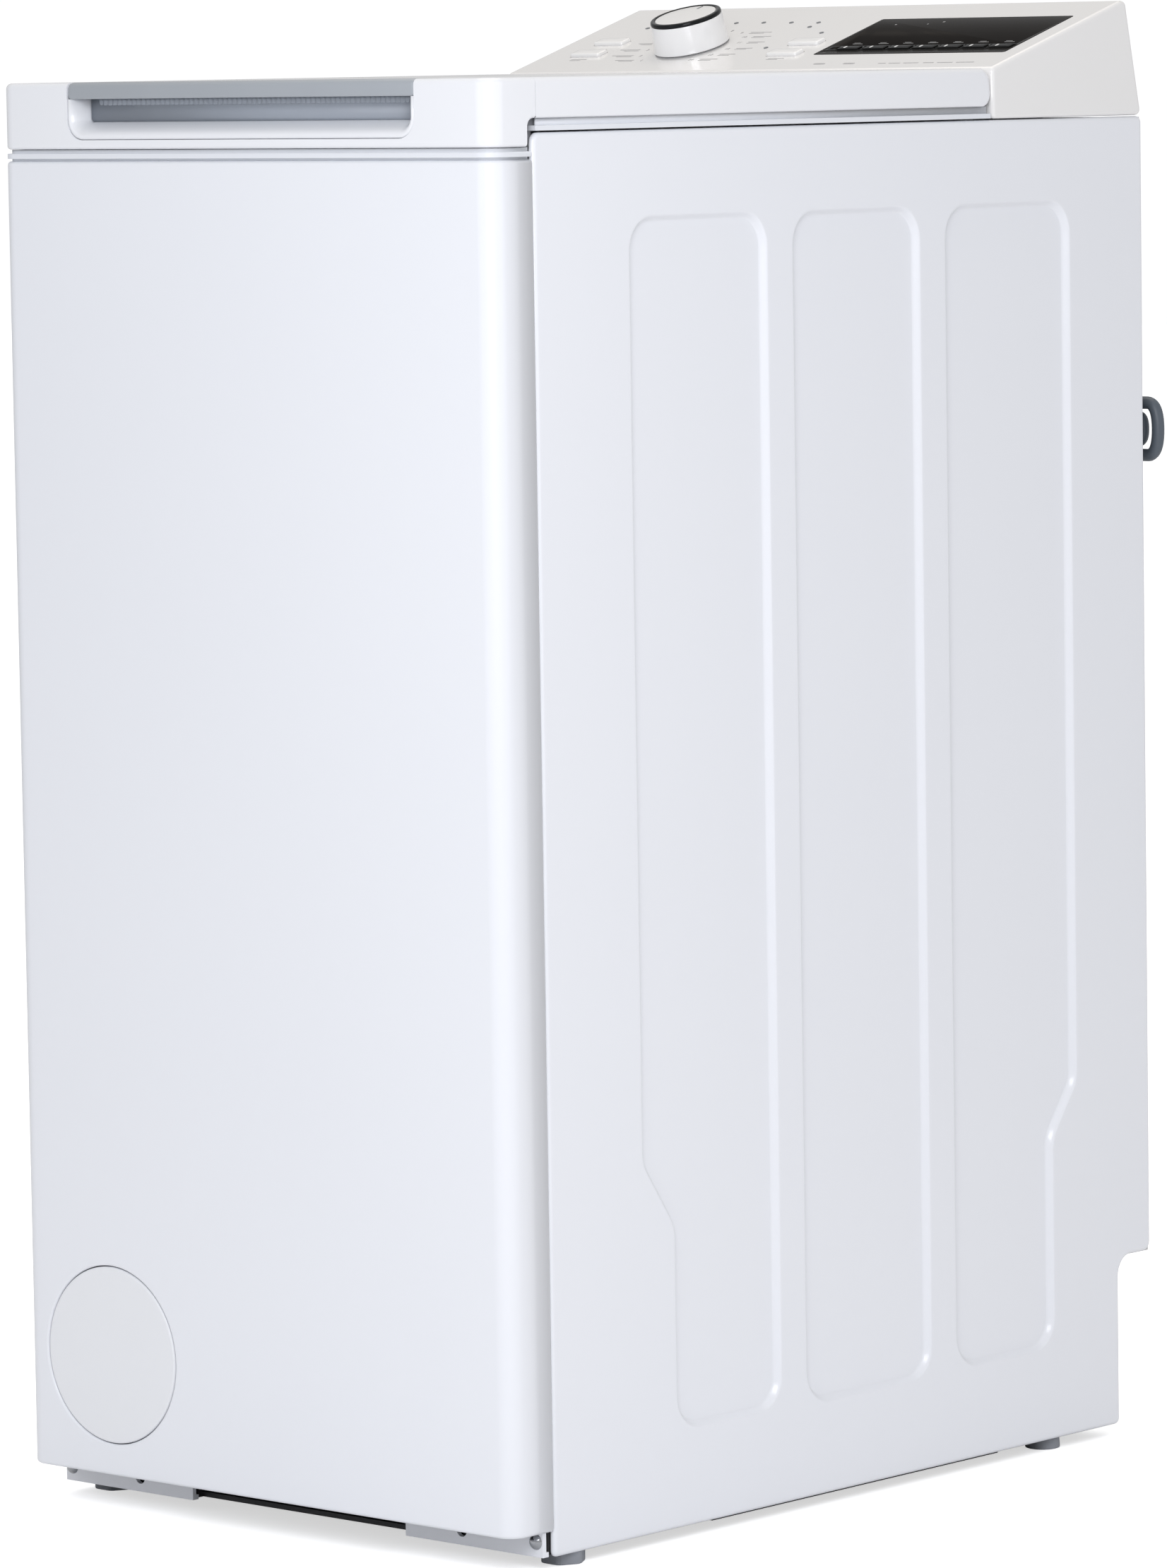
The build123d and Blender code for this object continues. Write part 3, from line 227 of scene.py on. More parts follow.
finishes = {
    "white_paint": {"color": (0.83, 0.845, 0.885), "shade": (0.795, 0.81, 0.855), "tone": 3.0, "rough": 0.30,
                    "grain": 420.0, "bump": 0.35, "deep": 0.00003, "coat": 0.35, "coatRough": 0.12},
    "filter_cover_white": {"color": (0.82, 0.83, 0.855), "shade": (0.78, 0.79, 0.82), "rough": 0.34,
                           "grain": 1500.0, "bump": 0.3},
    "rear_steel": {"color": (0.62, 0.63, 0.64), "shade": (0.5, 0.51, 0.53), "tone": 9.0, "rough": 0.42,
                   "grain": 260.0, "bump": 0.5, "deep": 0.00004, "metal": 0.55},
    # the base is black plastic, kept nearly black so it also gives the painted shade of the dark underside
    "base_plastic": {"color": (0.012, 0.012, 0.014), "shade": (0.022, 0.022, 0.024), "rough": 0.62,
                     "grain": 1300.0, "bump": 0.6, "deep": 0.00005},
    "feet_grey": {"color": (0.27, 0.285, 0.315), "shade": (0.21, 0.22, 0.25), "tone": 60.0, "rough": 0.55,
                  "grain": 1500.0, "bump": 0.5, "deep": 0.00004},
    "screw_steel": {"color": (0.44, 0.45, 0.47), "shade": (0.30, 0.31, 0.33), "tone": 120.0, "rough": 0.20,
                    "grain": 2500.0, "bump": 0.15, "metal": 1.0},
    "frame_plastic": {"color": (0.78, 0.80, 0.84), "shade": (0.72, 0.74, 0.79), "rough": 0.38, "grain": 1300.0,
                      "bump": 0.35},
    "lid_plastic": {"color": (0.845, 0.855, 0.885), "shade": (0.81, 0.82, 0.855), "tone": 4.0, "rough": 0.24,
                    "grain": 700.0, "bump": 0.18, "coat": 0.3, "coatRough": 0.06},
    "grip_plastic": {"color": (0.38, 0.405, 0.435), "shade": (0.32, 0.345, 0.38), "tone": 20.0, "rough": 0.36,
                     "grain": 1600.0, "bump": 0.4, "deep": 0.00003},
    "liner_plastic": {"color": (0.78, 0.79, 0.81), "shade": (0.71, 0.72, 0.75), "rough": 0.45, "grain": 1200.0,
                      "bump": 0.5, "deep": 0.00003},
    "tray_plastic": {"color": (0.70, 0.76, 0.84), "shade": (0.62, 0.69, 0.79), "rough": 0.25, "grain": 900.0,
                     "bump": 0.2, "coat": 0.2},
    "console_plastic": {"color": (0.86, 0.852, 0.845), "shade": (0.83, 0.823, 0.818), "tone": 4.0, "rough": 0.14,
                        "wander": 0.04, "grain": 500.0, "bump": 0.12, "coat": 0.5, "coatRough": 0.03},
    "knob_plastic": {"color": (0.89, 0.89, 0.895), "shade": (0.86, 0.86, 0.865), "tone": 30.0, "rough": 0.10,
                     "wander": 0.03, "grain": 900.0, "bump": 0.08, "coat": 0.6, "coatRough": 0.02},
    "button_plastic": {"color": (0.91, 0.905, 0.90), "shade": (0.88, 0.875, 0.87), "tone": 40.0, "rough": 0.12,
                       "wander": 0.03, "grain": 900.0, "bump": 0.08, "coat": 0.6, "coatRough": 0.03},
    "key_plastic": {"color": (0.003, 0.003, 0.003), "shade": (0.006, 0.006, 0.006), "tone": 60.0, "rough": 0.09,
                    "wander": 0.03, "grain": 1200.0, "bump": 0.06, "ior": 1.10},
    "display_black": {"color": (0.016, 0.0145, 0.0135), "shade": (0.022, 0.020, 0.019), "tone": 14.0, "rough": 0.22,
                      "wander": 0.04, "grain": 900.0, "bump": 0.05, "ior": 1.10},
    "board_green": {"color": (0.02, 0.13, 0.05), "shade": (0.01, 0.07, 0.03), "tone": 90.0, "rough": 0.3,
                    "grain": 700.0, "bump": 0.6, "deep": 0.0001},
    "lock_plastic": {"color": (0.03, 0.03, 0.034), "shade": (0.05, 0.05, 0.055), "rough": 0.5, "grain": 1300.0,
                     "bump": 0.5, "deep": 0.00004},
    "bellows_rubber": {"color": (0.11, 0.11, 0.115), "shade": (0.16, 0.16, 0.165), "tone": 18.0, "rough": 0.6,
                       "grain": 900.0, "bump": 0.6, "deep": 0.00006},
    "tub_plastic": {"color": (0.50, 0.50, 0.48), "shade": (0.42, 0.42, 0.41), "tone": 12.0, "rough": 0.5,
                    "grain": 900.0, "bump": 0.5, "deep": 0.00005},
    "heater_steel": {"color": (0.60, 0.59, 0.57), "shade": (0.36, 0.35, 0.34), "stretch": (30.0, 700.0, 700.0),
                     "rough": 0.28, "metal": 1.0, "bump": 0.2},
    "concrete": {"color": (0.40, 0.39, 0.375), "shade": (0.24, 0.235, 0.225), "tone": 45.0, "share": 1.0,
                 "rough": 0.9, "grain": 320.0, "bump": 0.9, "deep": 0.0006},
    "motor_aluminium": {"color": (0.60, 0.60, 0.61), "shade": (0.42, 0.42, 0.43), "tone": 30.0, "rough": 0.45,
                        "grain": 700.0, "bump": 0.7, "deep": 0.00008, "metal": 0.9},
    "shaft_steel": {"color": (0.70, 0.70, 0.71), "shade": (0.42, 0.42, 0.43), "stretch": (900.0, 30.0, 30.0),
                    "rough": 0.18, "metal": 1.0, "bump": 0.2},
    "belt_rubber": {"color": (0.018, 0.018, 0.018), "shade": (0.04, 0.04, 0.04), "tone": 80.0, "rough": 0.7,
                    "grain": 1500.0, "bump": 0.6, "deep": 0.00005},
    "drum_steel": {"color": (0.74, 0.74, 0.75), "shade": (0.52, 0.52, 0.54), "stretch": (12.0, 500.0, 500.0),
                   "rough": 0.22, "metal": 1.0, "bump": 0.25},
    "lifter_plastic": {"color": (0.66, 0.68, 0.70), "shade": (0.56, 0.58, 0.61), "rough": 0.35, "grain": 900.0,
                       "bump": 0.3},
    "pulley_aluminium": {"color": (0.68, 0.68, 0.69), "shade": (0.46, 0.46, 0.47), "tone": 25.0, "rough": 0.38,
                         "grain": 600.0, "bump": 0.6, "deep": 0.00006, "metal": 1.0},
    "pump_plastic": {"color": (0.58, 0.58, 0.56), "shade": (0.50, 0.50, 0.49), "rough": 0.45, "grain": 1100.0,
                     "bump": 0.4},
    "pump_blue": {"color": (0.025, 0.09, 0.24), "shade": (0.015, 0.06, 0.17), "tone": 30.0, "rough": 0.36,
                  "grain": 1100.0, "bump": 0.4},
    "valve_plastic": {"color": (0.66, 0.66, 0.65), "shade": (0.58, 0.58, 0.57), "rough": 0.4, "grain": 1100.0,
                      "bump": 0.4},
    "cord_grey": {"color": (0.095, 0.115, 0.14), "shade": (0.07, 0.085, 0.105), "tone": 40.0, "rough": 0.42,
                  "grain": 1400.0, "bump": 0.4, "deep": 0.00003},
    "gland_plastic": {"color": (0.05, 0.055, 0.06), "shade": (0.075, 0.08, 0.085), "rough": 0.5, "grain": 1300.0,
                      "bump": 0.5, "deep": 0.00004},
    # finishes of single details
    "gripRecess": {"color": (0.34, 0.37, 0.42), "shade": (0.29, 0.32, 0.37), "tone": 20.0, "rough": 0.45,
                   "grain": 1600.0, "bump": 0.4, "deep": 0.00003},
    "printGrey": {"color": (0.16, 0.17, 0.185), "shade": (0.24, 0.25, 0.265), "tone": 300.0, "rough": 0.45,
                  "grain": 1500.0, "bump": 0.3},
    "printSoft": {"color": (0.40, 0.40, 0.405), "shade": (0.48, 0.48, 0.485), "tone": 300.0, "rough": 0.45,
                  "grain": 1500.0, "bump": 0.3},
    "printDim": {"color": (0.30, 0.30, 0.30), "shade": (0.2, 0.2, 0.2), "tone": 300.0, "rough": 0.4,
                 "grain": 1500.0, "bump": 0.3},
    "ringBlack": {"color": (0.008, 0.009, 0.010), "shade": (0.016, 0.017, 0.018), "tone": 60.0, "rough": 0.12,
                  "grain": 1200.0, "bump": 0.06, "ior": 1.25},
    "capLight": {"color": (0.80, 0.80, 0.795), "shade": (0.76, 0.76, 0.76), "tone": 40.0, "rough": 0.30,
                 "grain": 1600.0, "bump": 0.3, "deep": 0.00002},
    "plugPins": {"color": (0.80, 0.78, 0.70), "shade": (0.6, 0.57, 0.5), "tone": 90.0, "rough": 0.2,
                 "grain": 1500.0, "bump": 0.15, "metal": 1.0},
    "floorPale": {"color": (0.95, 0.95, 0.955), "shade": (0.93, 0.93, 0.935), "tone": 1.5, "rough": 0.9,
                  "grain": 60.0, "bump": 0.15},
}
materials = {name: makeFinish(name, look) for name, look in finishes.items()}
print("stage: finishes made")

# mesh helpers; everything below is worked out in millimetres and stored in metres


def roundedPath(corners, closed=True, quarter=8):
    # Corners are (x, y, radius). Each arc starts radius times the tangent of half the turn before its corner.
    points = np.array([c[:2] for c in corners], float)
    runs = []
    for i, corner in enumerate(corners):
        here, radius = points[i], corner[2]
        if radius == 0 or (not closed and i in (0, len(corners) - 1)):
            runs.append(here[None])
            continue
        back, on = points[i - 1] - here, points[(i + 1) % len(corners)] - here
        back, on = back / np.hypot(*back), on / np.hypot(*on)
        turn = math.pi - math.acos(np.clip(back @ on, -1, 1))
        start = here + back * radius * math.tan(turn / 2)
        middle = back + on
        centre = here + middle / np.hypot(*middle) * radius / math.cos(turn / 2)
        side = np.sign(-back[0] * on[1] + back[1] * on[0])
        first = math.atan2(*(start - centre)[::-1])
        steps = max(3, round(quarter * turn / (math.pi / 2)))
        angle = first + side * np.linspace(0, turn, steps + 1)
        runs.append(centre + radius * np.stack([np.cos(angle), np.sin(angle)], 1))
    path = np.concatenate(runs)
    return path


def leftward(path, amount, closed=True):
    # Each point moves to the left of the path along its mitre, so that both of its edges move by the amount.
    step = np.roll(path, -1, 0) - path
    if not closed:
        step[-1] = step[-2]
    step = step / np.maximum(np.linalg.norm(step, axis=1, keepdims=True), 1e-9)
    after = np.stack([-step[:, 1], step[:, 0]], 1)
    before = np.roll(after, 1, 0)
    if not closed:
        before[0] = after[0]
    mitre = (before + after) / np.maximum(1 + (before * after).sum(1, keepdims=True), 0.2)
    return path + mitre * np.broadcast_to(np.asarray(amount, float), (len(path),))[:, None]


def counterClockwise(path):
    x, y = path.T
    return path if (x * np.roll(y, -1) - np.roll(x, -1) * y).sum() > 0 else path[::-1]


def gridChunk(rows, closedRows=False, closedCols=False):
    # rows is an array (rows, columns, 3); neighbouring points become four-sided faces.
    m, n = rows.shape[:2]
    i = np.arange(m if closedRows else m - 1)[:, None]
    j = np.arange(n if closedCols else n - 1)[None, :]
    a, b = i * n + j, i * n + (j + 1) % n
    c, d = ((i + 1) % m) * n + (j + 1) % n, ((i + 1) % m) * n + j
    return rows.reshape(-1, 3), np.stack(np.broadcast_arrays(a, b, c, d), -1).reshape(-1, 4).tolist()


def fillChunk(rings, place):
    # A flat face with holes: the rings are outlines in two dimensions, and place puts them into space.
    flat = [[Vector((*p, 0)) for p in ring.tolist()] for ring in rings]
    faces = [list(face) for face in tessellate_polygon(flat)]
    return place(np.concatenate(rings)), faces


def discChunk(ring):
    # Closes a ring of points with one face.
    return ring, [list(range(len(ring)))]


def quarterRoll(radius, steps=5):
    # A quarter circle as (inset, drop) pairs: from drop radius at inset 0 to drop 0 at inset radius.
    angle = np.linspace(0, math.pi / 2, steps + 1)
    return np.stack([radius * (1 - np.cos(angle)), radius * (1 - np.sin(angle))], 1)


def onYz(x):
    return lambda p: np.stack([np.broadcast_to(np.asarray(x, float), len(p)), p[:, 0], p[:, 1]], 1)


def onXz(y):
    return lambda p: np.stack([p[:, 0], np.broadcast_to(np.asarray(y, float), len(p)), p[:, 1]], 1)


def onXy(z):
    return lambda p: np.stack([p[:, 0], p[:, 1], np.broadcast_to(np.asarray(z, float), len(p))], 1)


def addModifier(piece, kind, **settings):
    modifier = piece.modifiers.new(kind.lower(), kind)
    for key, value in settings.items():
        setattr(modifier, key, value)


def makePiece(name, chunks, finish, body, stands=(), middle=None, wall=0, bevel=0, soft=40, closed=False,
              segments=2):
    # welds the chunks, turns the faces away from the middle point and finishes the piece; body None leaves it unridden
    points, faces, start = [], [], 0
    for verts, polys in chunks:
        points.append(np.asarray(verts, float))
        faces += [[start + k for k in poly] for poly in polys]
        start += len(verts)
    mesh = bpy.data.meshes.new(name)
    mesh.from_pydata((np.concatenate(points) * mm).tolist(), [], faces)
    bm = bmesh.new()
    bm.from_mesh(mesh)
    bmesh.ops.remove_doubles(bm, verts=bm.verts, dist=2e-6)
    bmesh.ops.dissolve_degenerate(bm, edges=bm.edges, dist=1e-7)
    bmesh.ops.recalc_face_normals(bm, faces=bm.faces)
    if not closed:
        centre = Vector(middle if middle is not None else np.concatenate(points).mean(0)) * mm
        if sum(f.normal.dot(f.calc_center_median() - centre) * f.calc_area() for f in bm.faces) < 0:
            bmesh.ops.reverse_faces(bm, faces=bm.faces)
    bm.to_mesh(mesh)
    bm.free()
    mesh.shade_smooth()
    mesh.set_sharp_from_angle(angle=math.radians(soft))
    mesh.materials.append(materials[finish])
    piece = bpy.data.objects.new(name, mesh)
    bpy.context.scene.collection.objects.link(piece)
    if wall:
        addModifier(piece, "SOLIDIFY", thickness=wall * mm, offset=-1)
    if bevel:
        addModifier(piece, "BEVEL", width=bevel * mm, segments=segments, limit_method="ANGLE",
                    angle_limit=math.radians(soft), harden_normals=True)
    if body:
        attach(piece, body)
    if stands:
        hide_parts(*stands)
    return piece


def bevelCopy(node, width, segments=2, angle=32, finish=None):
    # A copy of a CAD node's mesh, welded, its flat parts made whole and its sharp edges rounded.
    source = nodes[node]
    mesh = source.data.copy()
    bm = bmesh.new()
    bm.from_mesh(mesh)
    bmesh.ops.remove_doubles(bm, verts=bm.verts, dist=4e-6)
    bmesh.ops.dissolve_limit(bm, angle_limit=math.radians(0.6), verts=bm.verts, edges=bm.edges)
    bm.to_mesh(mesh)
    bm.free()
    mesh.shade_smooth()
    mesh.set_sharp_from_angle(angle=math.radians(angle))
    mesh.materials.clear()
    slot = slotOf[node]
    mesh.materials.append(materials[finish or slot])
    piece = bpy.data.objects.new(node + "_finished", mesh)
    bpy.context.scene.collection.objects.link(piece)
    addModifier(piece, "BEVEL", width=width * mm, segments=segments, limit_method="ANGLE",
                angle_limit=math.radians(angle), harden_normals=True)
    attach(piece, source["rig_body"])
    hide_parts(node)
    return piece


# mains lead, tied in a hank

lead = {
    "diameter": 8.0,
    "length": 1.769,
    "exit": (-40.0, 314.0, 764.0),
    "route": [(-40, 314, 764), (-40, 314, 733), (-37, 314, 703), (-24, 314, 674), (2, 314, 654.5), (32, 314, 648.8),
              (62.5, 314, 648.5)],
    "tail": [(62.5, 331, 615.5), (34, 331, 614.6), (8, 331, 604), (-9, 331, 581), (-14, 331, 553), (-13.6, 331, 520)],
    "foldLeft": 60.5,
    "height": 632.0,
    "outer": 16.5,
    "inner": 7.5,
}


def hankFolds():
    # Folds in turn, right then left: each is four corners of the square round its half circle.
    outer, inner, high = lead["outer"], lead["inner"], lead["height"]
    layers = [(314.0, outer, 163.0), (314.0, inner, 163.0), (322.5, inner, 174.0), (322.5, outer, 177.0),
              (331.0, outer, 150.0)]
    points = []
    for i, (y, reach, right) in enumerate(layers):
        points += [(right, y, high + reach), (right + reach, y, high + reach), (right + reach, y, high - reach),
                   (right, y, high - reach)]
        if i + 1 < len(layers):
            nextY, nextReach = layers[i + 1][:2]
            left, wide = lead["foldLeft"], (reach + nextReach) / 2
            points += [(left, y, high - reach), (left - wide, (y * 2 + nextY) / 3, high - reach),
                       (left - wide, (y + nextY * 2) / 3, high + nextReach), (left, nextY, high + nextReach)]
    return points


def makeLead():
    points = lead["route"] + hankFolds() + lead["tail"]
    data = bpy.data.curves.new("mainsLead", "CURVE")
    data.dimensions = "3D"
    spline = data.splines.new("NURBS")
    spline.points.add(len(points) - 1)
    spline.points.foreach_set("co", np.array([(x * mm, y * mm, z * mm, 1) for x, y, z in points], np.float32).ravel())
    spline.order_u = 3
    spline.use_endpoint_u = True
    spline.resolution_u = 10
    data.bevel_depth = lead["diameter"] / 2 * mm
    data.bevel_resolution = 5
    data.use_fill_caps = True
    data.materials.append(materials["cord_grey"])
    cord = bpy.data.objects.new("mainsLead", data)
    bpy.context.scene.collection.objects.link(cord)
    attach(cord, "cabinet")
    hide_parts("mains_cord", "cord_hank")
    return cord


cord = makeLead()


def revolved(profile, place, around=64):
    # The profile's (radius, along) pairs turned round an axis; place puts (cos, sin, along) parts into space.
    profile = np.asarray(profile, float)
    angle = np.linspace(0, 2 * math.pi, around, endpoint=False)
    radius, along = profile[:, :1], profile[:, 1:]
    rows = place(radius * np.cos(angle), radius * np.sin(angle), along + 0 * angle)
    return gridChunk(rows, closedCols=True)


def alongZ(x0, y0, z0):
    return lambda a, b, c: np.stack([x0 + a, y0 + b, z0 + c], -1)


def alongFront(x0, y0, z0):
    # the axis points to the front, and along counts towards the rear
    return lambda a, b, c: np.stack([x0 + a, y0 + c, z0 + b], -1)


def makePlug():
    top, x, y = 520.0, -13.6, 331.0
    body = [(0, 0), (5.2, 0), (5.5, -0.8), (6.2, -4), (7.2, -8), (9.4, -12), (12.2, -15.5), (13.8, -18.5),
            (14.5, -22), (14.5, -27), (13.9, -27.8), (13.9, -29.2), (14.5, -30), (14.5, -44.6), (13.6, -45.7),
            (12, -46), (0, -46)]
    chunks = [revolved(body, alongZ(x, y, top), 48)]
    for z in (-4.5, -7.5, -10.5):
        rib = [(6.0, z + 0.9), (8.2 - z * 0.1 - 1, z + 0.6), (8.2 - z * 0.1 - 1, z - 0.6), (6.0, z - 0.9)]
        chunks.append(revolved(rib, alongZ(x, y, top), 48))
    plugBody = makePiece("plugBody", chunks, "cord_grey", "cabinet", stands=("plug",), closed=True, soft=35)
    pins = []
    for side in (-1, 1):
        pin = [(0, -65), (1.4, -65), (2.1, -64.4), (2.4, -63), (2.4, -46), (2.6, -46), (2.6, -45), (0, -45)]
        pins.append(revolved(pin, alongZ(x + side * 9.5, y, top), 20))
    pinPiece = makePiece("plugPinPair", pins, "plugPins", "cabinet", closed=True)
    return plugBody, pinPiece


plugBody, pinPiece = makePlug()
glandPiece = bevelCopy("cord_gland", 0.8, 3)
clipPiece = bevelCopy("cord_clip", 0.5)
print("stage: mains lead made")

# side panels

panel = {
    "half": 200.0,
    "outline": [(-264.6, 7.5, 3.8), (267.4, 7.5, 3.8), (267.4, 114, 13), (300, 114, 6), (300, 828.5, 3.8),
                (-264.6, 828.5, 6)],
    "recesses": [
        [(-60.5, 65), (-60.5, 779.5), (-183.5, 779.5), (-183.5, 227), (-156, 187), (-156, 65)],
        [(81, 63), (81, 779), (-38, 779), (-38, 63)],
        [(104.5, 64.5), (202, 64.5), (202, 197), (226.5, 230), (226.5, 779), (104.5, 779)]],
    "recessRound": 21.0,
    "recessDeep": 4.0,
    "recessSlope": 4.2,
    "roll": 2.6,
    "fold": 3.4,
    "sheet": 1.2,
}


def makeSidePanel(side):
    # Outline, then its rolled edge: the inset follows a quarter circle. A recess wall falls by a smooth S over its slope.
    half, roll = panel["half"], panel["roll"]
    outline = counterClockwise(roundedPath(panel["outline"]))
    edge = [(0.0, panel["fold"])] + quarterRoll(roll).tolist() + [(roll + 1.0, 0.0)]
    rows = [onYz(half - drop)(leftward(outline, inset)) for inset, drop in edge]
    chunks = [gridChunk(np.stack(rows), closedCols=True)]
    flatEdge = leftward(outline, roll + 1.0)
    holes = []
    for corners in panel["recesses"]:
        ring = counterClockwise(roundedPath([(y, z, panel["recessRound"]) for y, z in corners], quarter=10))
        share = np.linspace(0, 1, 11)
        fall = share * share * (3 - 2 * share)
        steps = [(-1.0, 0.0)] + [(s * panel["recessSlope"], f * panel["recessDeep"]) for s, f in zip(share, fall)]
        steps.append((panel["recessSlope"] + 1.0, panel["recessDeep"]))
        rows = [onYz(half - drop)(leftward(ring, inset)) for inset, drop in steps]
        chunks.append(gridChunk(np.stack(rows), closedCols=True))
        holes.append(leftward(ring, -1.0))
        chunks.append(fillChunk([leftward(ring, steps[-1][0])], onYz(half - panel["recessDeep"])))
    chunks.append(fillChunk([flatEdge] + holes, onYz(half)))
    chunks = [(verts * (side, 1, 1), faces) for verts, faces in chunks]
    name, stands = ("sidePanelRight", "side_panel_right") if side > 0 else ("sidePanelLeft", "side_panel_left")
    return makePiece(name, chunks, "white_paint", "cabinet", stands=(stands,), middle=(0, 0, 450),
                     wall=panel["sheet"], soft=50)


for side in (-1, 1):
    makeSidePanel(side)
print("stage: side panels made")

# front panel and filter cover

front = {
    "half": 200.0,
    "face": -300.0,
    "rear": -265.4,
    "round": 12.0,
    "bottom": 22.8,
    "top": 813.5,
    "roll": 2.2,
    "lip": 11.0,
    "sheet": 1.2,
    "coverAt": (-126.5, 96.5),
    "holeRadius": 54.3,
    "coverRadius": 53.7,
}


def makeFrontPanel():
    # A U in plan, moved inwards by the upright section: folded lip, quarter circle, upright, quarter circle, lip.
    half, face, rear = front["half"], front["face"], front["rear"]
    # left of the path is the inside
    plan = roundedPath([(-half, rear, 0), (-half, face, front["round"]), (half, face, front["round"]),
                        (half, rear, 0)], closed=False, quarter=10)
    roll = front["roll"]
    section = []
    angle = np.linspace(0, math.pi / 2, 6)
    section.append((front["lip"], front["bottom"]))
    section += [(roll * (1 - s), front["bottom"] + roll * (1 - c)) for s, c in zip(np.sin(angle), np.cos(angle))]
    section.append((0.0, front["bottom"] + roll + 1))
    section.append((0.0, front["top"] - roll - 1))
    section += [(roll * (1 - c), front["top"] - roll * (1 - s)) for s, c in zip(np.sin(angle), np.cos(angle))]
    section.append((front["lip"], front["top"]))
    rows = np.stack([onXy(z)(leftward(plan, inset, closed=False)) for inset, z in section])
    verts, faces = gridChunk(rows)
    # the large flat face is left out here and filled below, round the filter opening
    count = len(plan)
    widest = int(np.argmax(np.diff(plan[:, 0])))
    tall = next(i for i, (a, b) in enumerate(zip(section, section[1:])) if b[1] - a[1] > 100)
    dropped = tall * (count - 1) + widest
    faces = faces[:dropped] + faces[dropped + 1:]
    chunks = [(verts, faces)]
    z0, z1 = section[tall][1], section[tall + 1][1]
    x0, x1 = plan[widest, 0], plan[widest + 1, 0]
    turn = np.linspace(0, 2 * math.pi, 96, endpoint=False)
    circle = np.stack([np.cos(turn), np.sin(turn)], 1)
    centre, radius = np.array(front["coverAt"]), front["holeRadius"]
    rim = [(radius + 2.6, 0.0)] + [(radius + 1.6 - 1.6 * s, 1.6 * (1 - c)) for s, c in zip(np.sin(angle), np.cos(angle))]
    rim.append((radius, 7.0))
    rimRows = np.stack([onXz(face + back)(centre + r * circle) for r, back in rim])
    chunks.append(gridChunk(rimRows, closedCols=True))
    square = np.array([(x0, z0), (x1, z0), (x1, z1), (x0, z1)])
    chunks.append(fillChunk([square, centre + (radius + 2.6) * circle], onXz(face)))
    makePiece("frontPanel", chunks, "white_paint", "cabinet", stands=("front_panel",), middle=(0, 200, 450),
              wall=front["sheet"], soft=50)


def makeFilterCover():
    # a very slightly crowned disc with a rounded rim, and a short wall behind it
    radius = front["coverRadius"]
    x, z = front["coverAt"]
    angle = np.linspace(0, math.pi / 2, 6)
    profile = [(0.0, 0.02), (26, 0.02), (radius - 3.5, 0.05), (radius - 2.6, 0.07)]
    profile += [(radius - 1.3 + 1.3 * s, 0.1 + 1.3 * (1 - c)) for s, c in zip(np.sin(angle), np.cos(angle))][0:]
    profile += [(radius, 3.8), (radius - 2.6, 3.8), (radius - 2.8, 2.0), (0.0, 2.0)]
    chunk = revolved(profile, alongFront(x, front["face"], z), 96)
    makePiece("filterCover", [chunk], "filter_cover_white", "filter_cover", stands=("filter_cover",), closed=True)


makeFrontPanel()
makeFilterCover()
print("stage: front made")

# lid: cover, front trim and grip

lid = {
    "half": 200.0,
    "seam": -261.4,
    "top": 860.0,
    "skirt": 836.7,
    "rear": 151.0,
    "rearRound": 9.0,
    "sideRound": 3.6,
    "skirtRound": 1.4,
    "wall": 3.0,
}


def makeLidCover():
    # The side outline runs over the top, round the rear and along the skirt; each side rolls over by its own radius.
    half = lid["half"]
    path = roundedPath([(lid["seam"], lid["top"], 0), (lid["rear"], lid["top"], lid["rearRound"]),
                        (lid["rear"], lid["skirt"], 8.5), (lid["seam"], lid["skirt"], 0)], closed=False, quarter=10)
    # the path runs clockwise, so the inside is on its right
    low = np.clip((path[:, 1] - lid["skirt"]) / 12.0, 0, 1)
    radius = lid["skirtRound"] + (lid["sideRound"] - lid["skirtRound"]) * low
    angle = np.linspace(0, math.pi / 2, 7)
    chunks = []
    for side in (-1, 1):
        rows = [onYz(side * (half - radius * (1 - s)))(leftward(path, -radius * (1 - c), closed=False))
                for s, c in zip(np.sin(angle), np.cos(angle))]
        rows.append(onYz(side * half)(leftward(path, -radius - 1.0, closed=False)))
        chunks.append(gridChunk(np.stack(rows)))
        chunks.append(fillChunk([leftward(path, -radius - 1.0, closed=False)], onYz(side * half)))
    over = path[:, 1] > 849.0
    across = [onYz(side * (half - radius[over]))(path[over]) for side in (-1, 1)]
    chunks.append(gridChunk(np.stack(across)))
    makePiece("lidCover", chunks, "lid_plastic", "lid", stands=("lid_cover",), middle=(0, -60, 830), wall=lid["wall"],
              soft=42, bevel=0.5)


trim = {
    "half": 200.0,
    "face": -300.0,
    "rear": -261.7,
    "round": 12.0,
    "top": 860.0,
    "bottom": 820.6,
    "sweepAt": -269.0,
    "sweepTop": 836.7,
    "roll": 3.4,
    "lowRoll": 2.0,
    "notch": 141.2,
    "notchBottom": 826.0,
    "notchRound": 12.0,
    "notchRear": -274.0,
    "wall": 2.6,
}


